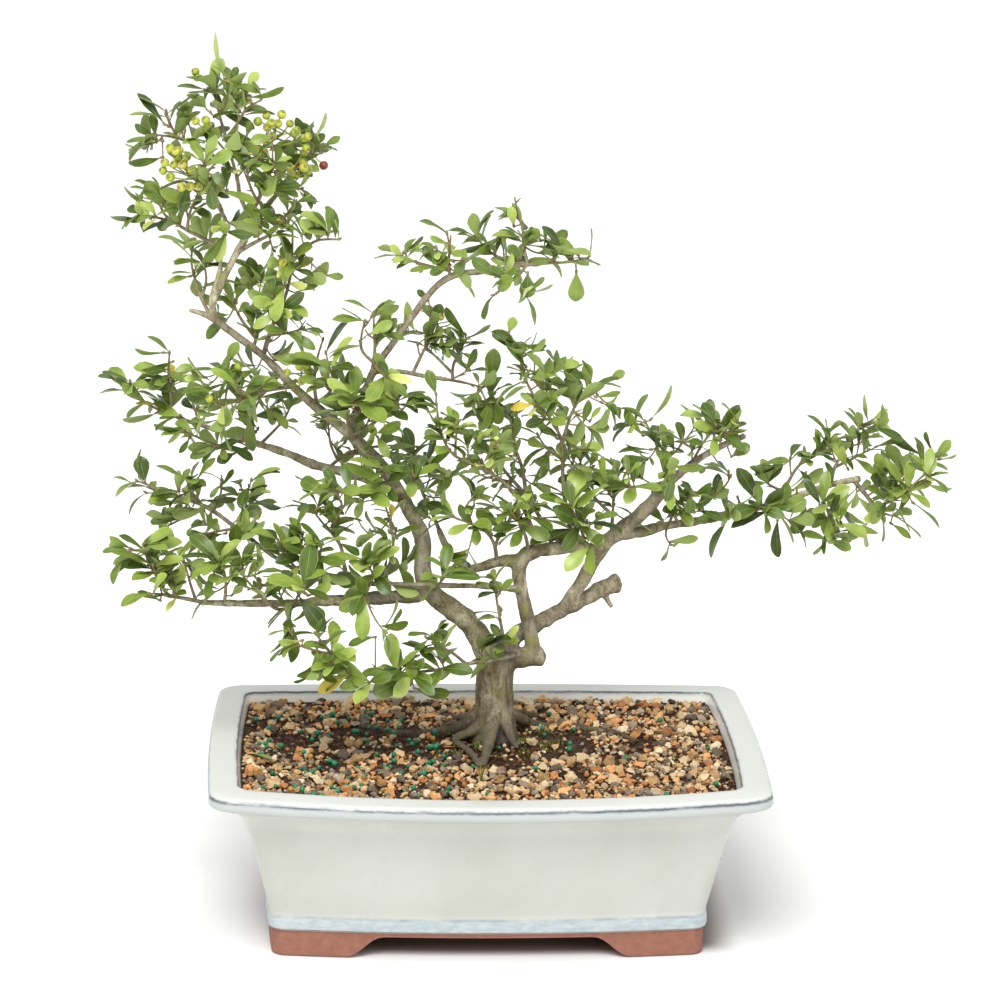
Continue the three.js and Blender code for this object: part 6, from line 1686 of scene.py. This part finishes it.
def moss_finish():
    moss = Finish("moss_green")
    tone = moss.attribute("tone") + (moss.noise(moss.place(), 0.15) - 0.5) * 0.6
    return moss.finish(moss.ramp(tone, [(0.0, (58, 66, 26)), (0.5, (96, 108, 40)), (1.0, (142, 148, 66))]), 0.9)


def twig_finish():
    """Brown young twigs, grey old ones, and green berry stalks, whose tone is below 0."""
    twig = Finish("twig_bark", Specular_IOR_Level=0.3)
    place, age = twig.place(), twig.attribute("tone")
    blotch = twig.noise(place, 0.28, 3)
    young = twig.mix(blotch, (118, 92, 68), (138, 128, 84))
    old = twig.mix(blotch.between(0.35, 0.65), (104, 92, 78), (158, 150, 130))
    specks = twig.noise(place, 1.6, 2)
    colour = twig.coats(
        young,
        (age.between(0.1, 0.7), old),
        (1 - age.between(-0.8, -0.3), (146, 152, 72)),
        (specks.between(0.6, 0.72) * 0.5, (176, 168, 150)))
    return twig.finish(colour, 0.7, specks, 0.2, 0.5)


def bark_finish():
    """Pale flaking bark with dark cracks and pores, greyer in patches, browner towards the roots, and painted
    shade on the undersides of limbs.
    """
    bark = Finish("old_bark", Specular_IOR_Level=0.25)
    place = bark.place()
    long_grain = bark.noise(bark.stretched(place, (1, 1, 0.22)), 0.5, 5, 0.6, 0.5)
    mottle = bark.noise(place, 0.1, 4, 0.6, 0.4)
    fine = bark.noise(place, 1.1, 4)
    # The normal's upward part, read below to paint shade on the undersides
    up = bark.axes(bark.add("NewGeometry", output="Normal"))[2]
    z = bark.axes(place)[2] / MM
    low = 1 - z.between(100, 160)
    wood = bark.ramp(mottle + (fine - 0.5) * 0.45 + (long_grain - 0.5) * 0.25, [
        (0.3, (112, 99, 76)), (0.48, (152, 142, 114)), (0.64, (188, 180, 152)), (0.78, (210, 204, 180))])
    crack = 1 - long_grain.between(0.34, 0.5)
    slate = bark.noise(place, 0.022, 2).between(0.44, 0.56)
    pores = bark.cells(bark.stretched(place, (1, 1, 1.6)), 0.42)
    green = (bark.noise(place, 0.09, 4) + (fine - 0.5) * 0.35).between(0.54, 0.66)
    wood = bark.coats(
        wood,
        (crack * (low * 0.55 + 0.35), (52, 41, 30)),
        (low * 0.58, (86, 70, 53)),
        ((1 - z.between(98, 118)) * (0.6 + crack * 0.3), (72, 54, 42)),
        (slate * 0.5, (108, 100, 90)),
        ((1 - pores.between(0.16, 0.3)) * 0.45, (74, 60, 44)),
        (green * (1 - low * 0.5) * 0.6, (136, 138, 66)),
        # Painted shade: bark that faces down is darkened
        ((0 - up).between(0.1, 0.9) * 0.4, (66, 54, 42)))
    height = long_grain * (0.5 + low * 0.6) + fine * 0.4 + mottle * 0.4
    return bark.finish(wood, 0.85, height, 1.0, 0.9)


def cut_wood_finish():
    """Sawn end of a limb: pale heartwood that has greyed."""
    cut_wood = Finish("cut_wood", Specular_IOR_Level=0.25)
    grain = cut_wood.noise(cut_wood.place(), 0.7, 4, 0.6, 0.6)
    colour = cut_wood.ramp(grain, [(0.3, (112, 84, 58)), (0.5, (164, 134, 98)), (0.7, (202, 178, 140))])
    return cut_wood.finish(colour, 0.85, grain, 0.5, 0.6)


def berry_finish():
    """Green to yellow skin with pale dots, and red where the tone is about 2."""
    berry = Finish("berry_skin", Specular_IOR_Level=0.5)
    place, ripe = berry.place(), berry.attribute("tone")
    patch = berry.noise(place, 0.22, 2)
    fine = berry.noise(place, 1.8, 2)
    skin = berry.ramp(ripe * 0.6 + patch * 0.5, [
        (0.2, (124, 140, 38)), (0.5, (160, 170, 54)), (0.8, (188, 186, 74)), (1.0, (204, 176, 80))])
    skin = berry.coats(
        skin,
        (ripe.between(1.2, 1.8), (128, 54, 38)),
        (fine.between(0.6, 0.75) * 0.3, (214, 216, 140)))
    return berry.finish(skin, 0.32 + patch * 0.15, fine, 0.06, 0.3)


def glaze_finish(profile, along):
    """Pale glaze with slate lines at both edges of the lip, a blue-grey roll above a bare clay foot; painted
    light whitens the lip and inside, painted shade greys the rim's outer face.
    """
    glaze = Finish("pot_glaze", Specular_IOR_Level=0.5)
    place = glaze.place()
    v = glaze.uv()[1]
    outer_from = len(PROFILE_START)
    outer_to = outer_from + len(OUTER_PROFILE)
    heights = [z for half, z in profile[outer_from:outer_to]]
    foot_top, roll_top = np.interp([FOOT_HEIGHT + 0.1, ROLL_HEIGHT], heights, along[outer_from:outer_to])
    lip_outer = along[outer_to - 4]
    lip_inner = along[outer_to + len(LIP_PROFILE) - 2]
    wander = (glaze.noise(place, 0.05, 3) - 0.5) * 2
    ripple = (glaze.noise(place, 0.35, 4, 0.65) - 0.5) * 2
    cloud = glaze.noise(place, 0.018, 3)
    fine = glaze.noise(place, 0.9, 3)
    drip = glaze.noise(glaze.stretched(place, (1, 1, 0.12)), 0.11, 3)
    edge = v + wander * 0.9 + ripple * 0.5
    # The rim's outer face below the lip's edge, which gets painted shade
    face = v.between(lip_outer - 10, lip_outer - 8) * (1 - v.between(lip_outer - 1.5, lip_outer + 0.5))
    broken = (glaze.noise(place, 0.035, 4, 0.7) + 0.1).between(0.34, 0.62) * 0.65 + 0.3
    streak = glaze.noise(glaze.stretched(place, (1, 1, 3)), 0.16, 4, 0.7)
    blue = glaze.ramp(streak, [(0.25, (146, 160, 170)), (0.45, (166, 178, 184)), (0.65, (186, 194, 195))])
    band_top = (v + ripple * 0.7).between(roll_top - 0.4, roll_top + 1.4)
    band = (v + ripple * 0.6).between(foot_top - 0.3, foot_top + 0.5) * (1 - band_top)
    worn = glaze.noise(place, 0.06, 4, 0.7).between(0.36, 0.6)
    speck = glaze.cells(place, 0.16)
    clay_noise = glaze.noise(place, 0.22, 4, 0.65)
    clay = glaze.mix(clay_noise.between(0.35, 0.65), (139, 92, 75), (149, 100, 83))
    clay = glaze.mix(fine.between(0.62, 0.75) * 0.4, clay, (196, 156, 138))
    bare = 1 - (v + ripple * 0.25).between(foot_top - 0.5, foot_top + 0.1)
    slate, haze = (66, 74, 84), (150, 162, 170)
    colour = glaze.coats(
        glaze.mix(cloud.between(0.3, 0.7), (184, 185, 176), (193, 194, 186)),
        (drip.between(0.45, 0.8) * 0.3, (184, 188, 181)),
        # Painted light: the lip's top and everything inside it are painted whiter than the body
        (v.between(lip_outer - 1.5, lip_outer + 1.5), glaze.mix(cloud, (210, 212, 206), (218, 220, 214))),
        # Painted light: the inner walls are painted lighter still
        (v.between(lip_inner + 1, lip_inner + 3), (232, 232, 226)),
        # Painted shade: the rim's outer face is greyed
        (face * 0.6, (166, 173, 174)),
        (edge.near(lip_outer, 5.5) * 0.35, haze),
        (edge.near(lip_outer, 3) * broken, slate),
        (edge.near(lip_inner, 5) * 0.3, haze),
        (edge.near(lip_inner, 2.8) * broken, slate),
        (band * 0.9, blue),
        ((v + wander * 0.5).near(roll_top + 0.6, 2.6) * worn * 0.6, (126, 146, 158)),
        ((v + ripple * 0.3).near(foot_top + 0.7, 2) * (0.35 + worn * 0.5), (92, 108, 120)),
        ((1 - speck.between(0.04, 0.075)) * 0.5, (150, 146, 132)),
        (bare, clay))
    height = fine * 0.3 * (1 + bare * 2) + cloud * 0.6 + band * streak * 0.6
    return glaze.finish(colour, bare * 0.6 + 0.22 + cloud * 0.08, height, 0.25, 0.35)


def soil_finish():
    soil = Finish("wet_soil", Specular_IOR_Level=0.4)
    place = soil.place()
    grain = soil.noise(place, 0.5, 6, 0.7)
    colour = soil.ramp(grain, [(0.3, (30, 16, 7)), (0.5, (62, 38, 19)), (0.65, (96, 64, 38)),
                               (0.8, (126, 91, 58))])
    return soil.finish(colour, 0.6 + grain * 0.3, grain + soil.cells(place, 0.35) * 0.8, 1.6, 1)


# Dark, middle and light shade of each kind of stone
STONES = {
    "tan": ((116, 86, 56), (196, 158, 108), (236, 210, 166)),
    "rust": ((134, 78, 42), (206, 144, 88), (240, 190, 132)),
    "grey": ((70, 60, 50), (126, 110, 92), (186, 172, 150)),
    "pale": ((158, 134, 100), (208, 184, 144), (238, 220, 188)),
}


def stone_finish(name, dark, middle, light, rough=0.7):
    stone = Finish(name, Specular_IOR_Level=0.4)
    fleck = stone.noise(stone.place(), 0.7, 4, 0.7)
    tone = stone.attribute("tone") * 0.75 + (fleck - 0.5) * 0.7 + 0.12
    return stone.finish(stone.ramp(tone, [(0.0, dark), (0.5, middle), (1.0, light)]), rough, fleck, 0.35, 0.7)


def pellet_finish():
    pellet = Finish("feed_pellet")
    colour = pellet.ramp(pellet.attribute("tone"), [
        (0.0, (14, 100, 70)), (0.4, (30, 138, 96)), (0.9, (186, 140, 60))])
    return pellet.finish(colour, 0.35, pellet.noise(pellet.place(), 1), 0.1, 0.3)


def screen_finish():
    screen = Finish("screen_plastic", Specular_IOR_Level=0.4)
    scuff = screen.noise(screen.place(), 0.3, 4)
    return screen.finish(screen.mix(scuff, (30, 32, 32), (52, 54, 54)), 0.5 + scuff * 0.2, scuff, 0.1, 0.3)


def floor_finish():
    """White paper that glows more away from the pot, with a soft painted shadow under it: a dark patch in the
    floor's colour.
    """
    floor = Finish("studio_floor", Specular_IOR_Level=0.1, Emission_Strength=0.42)
    place = floor.place()
    across, deep, _ = floor.axes(place)
    # Painted shadow: a mask over the pot's footprint, where the floor's colour turns dark
    under = (1 - across.size().between(0.1, 0.125)) * (1 - deep.size().between(0.055, 0.08))
    away = (across * across + deep * deep * 1.6) ** 0.5
    glow = floor.ramp(away.between(0.1, 0.6), [(0.0, (0, 0, 0)), (1.0, (1, 1, 1))])
    floor.set(floor.shader.inputs["Emission Color"], glow)
    white = floor.mix(floor.noise(place, 0.003, 2), (0.9, 0.9, 0.9), (0.91, 0.91, 0.91))
    # The floor's colour is darkened under the pot as painted shadow
    return floor.finish(floor.mix(under * 0.85, white, (0.16, 0.13, 0.11)), 0.9)


# Camera, light and floor


def place_camera():
    heading = np.array([sin(YAW) * cos(PITCH), cos(YAW) * cos(PITCH), -sin(PITCH)])
    right = unit(np.cross(heading, UP))
    up = np.cross(right, heading)
    turned_right = right * cos(ROLL) + up * sin(ROLL)
    turned_up = up * cos(ROLL) - right * sin(ROLL)
    lens = bpy.data.cameras.new("camera")
    lens.lens = LENS
    lens.sensor_width = SENSOR_WIDTH
    camera = put_in_scene("camera", lens)
    turn = Matrix(np.column_stack([turned_right, turned_up, -heading]).tolist()).to_4x4()
    camera.matrix_world = Matrix.Translation(Vector(in_frame(VIEWER))) @ turn
    bpy.context.scene.camera = camera


def add_light(name, place, size, power):
    lamp = bpy.data.lights.new(name, "AREA")
    lamp.shape = "SQUARE"
    lamp.size = size
    lamp.energy = power
    light = put_in_scene(name, lamp)
    light.location = place
    light.rotation_euler = (Vector(LIGHT_TARGET) - Vector(place)).to_track_quat("-Z", "Y").to_euler()


def build_stage():
    bpy.ops.mesh.primitive_plane_add(size=FLOOR_SIZE, location=(0, 0, -0.0002))
    floor = bpy.context.object
    floor.name = "floor"
    floor.data.materials.append(floor_finish())
    world = bpy.data.worlds.new("studio")
    bpy.context.scene.world = world
    world.use_nodes = True
    sky = world.node_tree.nodes["Background"]
    sky.inputs["Color"].default_value = (1, 1, 1, 1)
    sky.inputs["Strength"].default_value = WORLD_LIGHT
    add_light("key", (-0.4, -1.7, 2.1), 1.3, KEY_LIGHT)
    add_light("fill", (1.6, -1.2, 1.2), 1.6, FILL_LIGHT)
    bpy.context.scene.view_settings.view_transform = "Standard"
    bpy.context.scene.view_settings.look = "None"


def dress_bonsai():
    leaf, twig = leaf_finish(), twig_finish()
    blade, berry = blade_template(), berry_template()
    sprays, bunches = grow_tree()
    for name, twigs in sprays.items():
        make_spray(name, twigs, leaf, twig, blade)
    skin = berry_finish()
    for number, (name, bunch) in enumerate(bunches.items()):
        make_bunch(name, bunch, number, skin, twig, berry)
    make_single_berries(sprays, skin, twig, berry)
    make_wood(bark_finish(), cut_wood_finish())
    profile, along = pot_profile()
    make_pot(glaze_finish(profile, along), profile, along)
    make_soil(soil_finish())
    gravel = {"gravel_" + name: stone_finish("stone_" + name, *shades) for name, shades in STONES.items()}
    make_gravel(gravel, stone_finish("soil_crumb", (34, 19, 9), (74, 48, 28), (132, 96, 62), 0.9))
    make_pellets(pellet_finish())
    make_moss(moss_finish())
    make_litter(leaf, dry_leaf_finish(), blade)
    screen = screen_finish()
    for name in ("drain_screen_left", "drain_screen_right"):
        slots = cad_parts[name].data.materials
        slots.clear()
        slots.append(screen)


place_camera()
build_stage()
dress_bonsai()
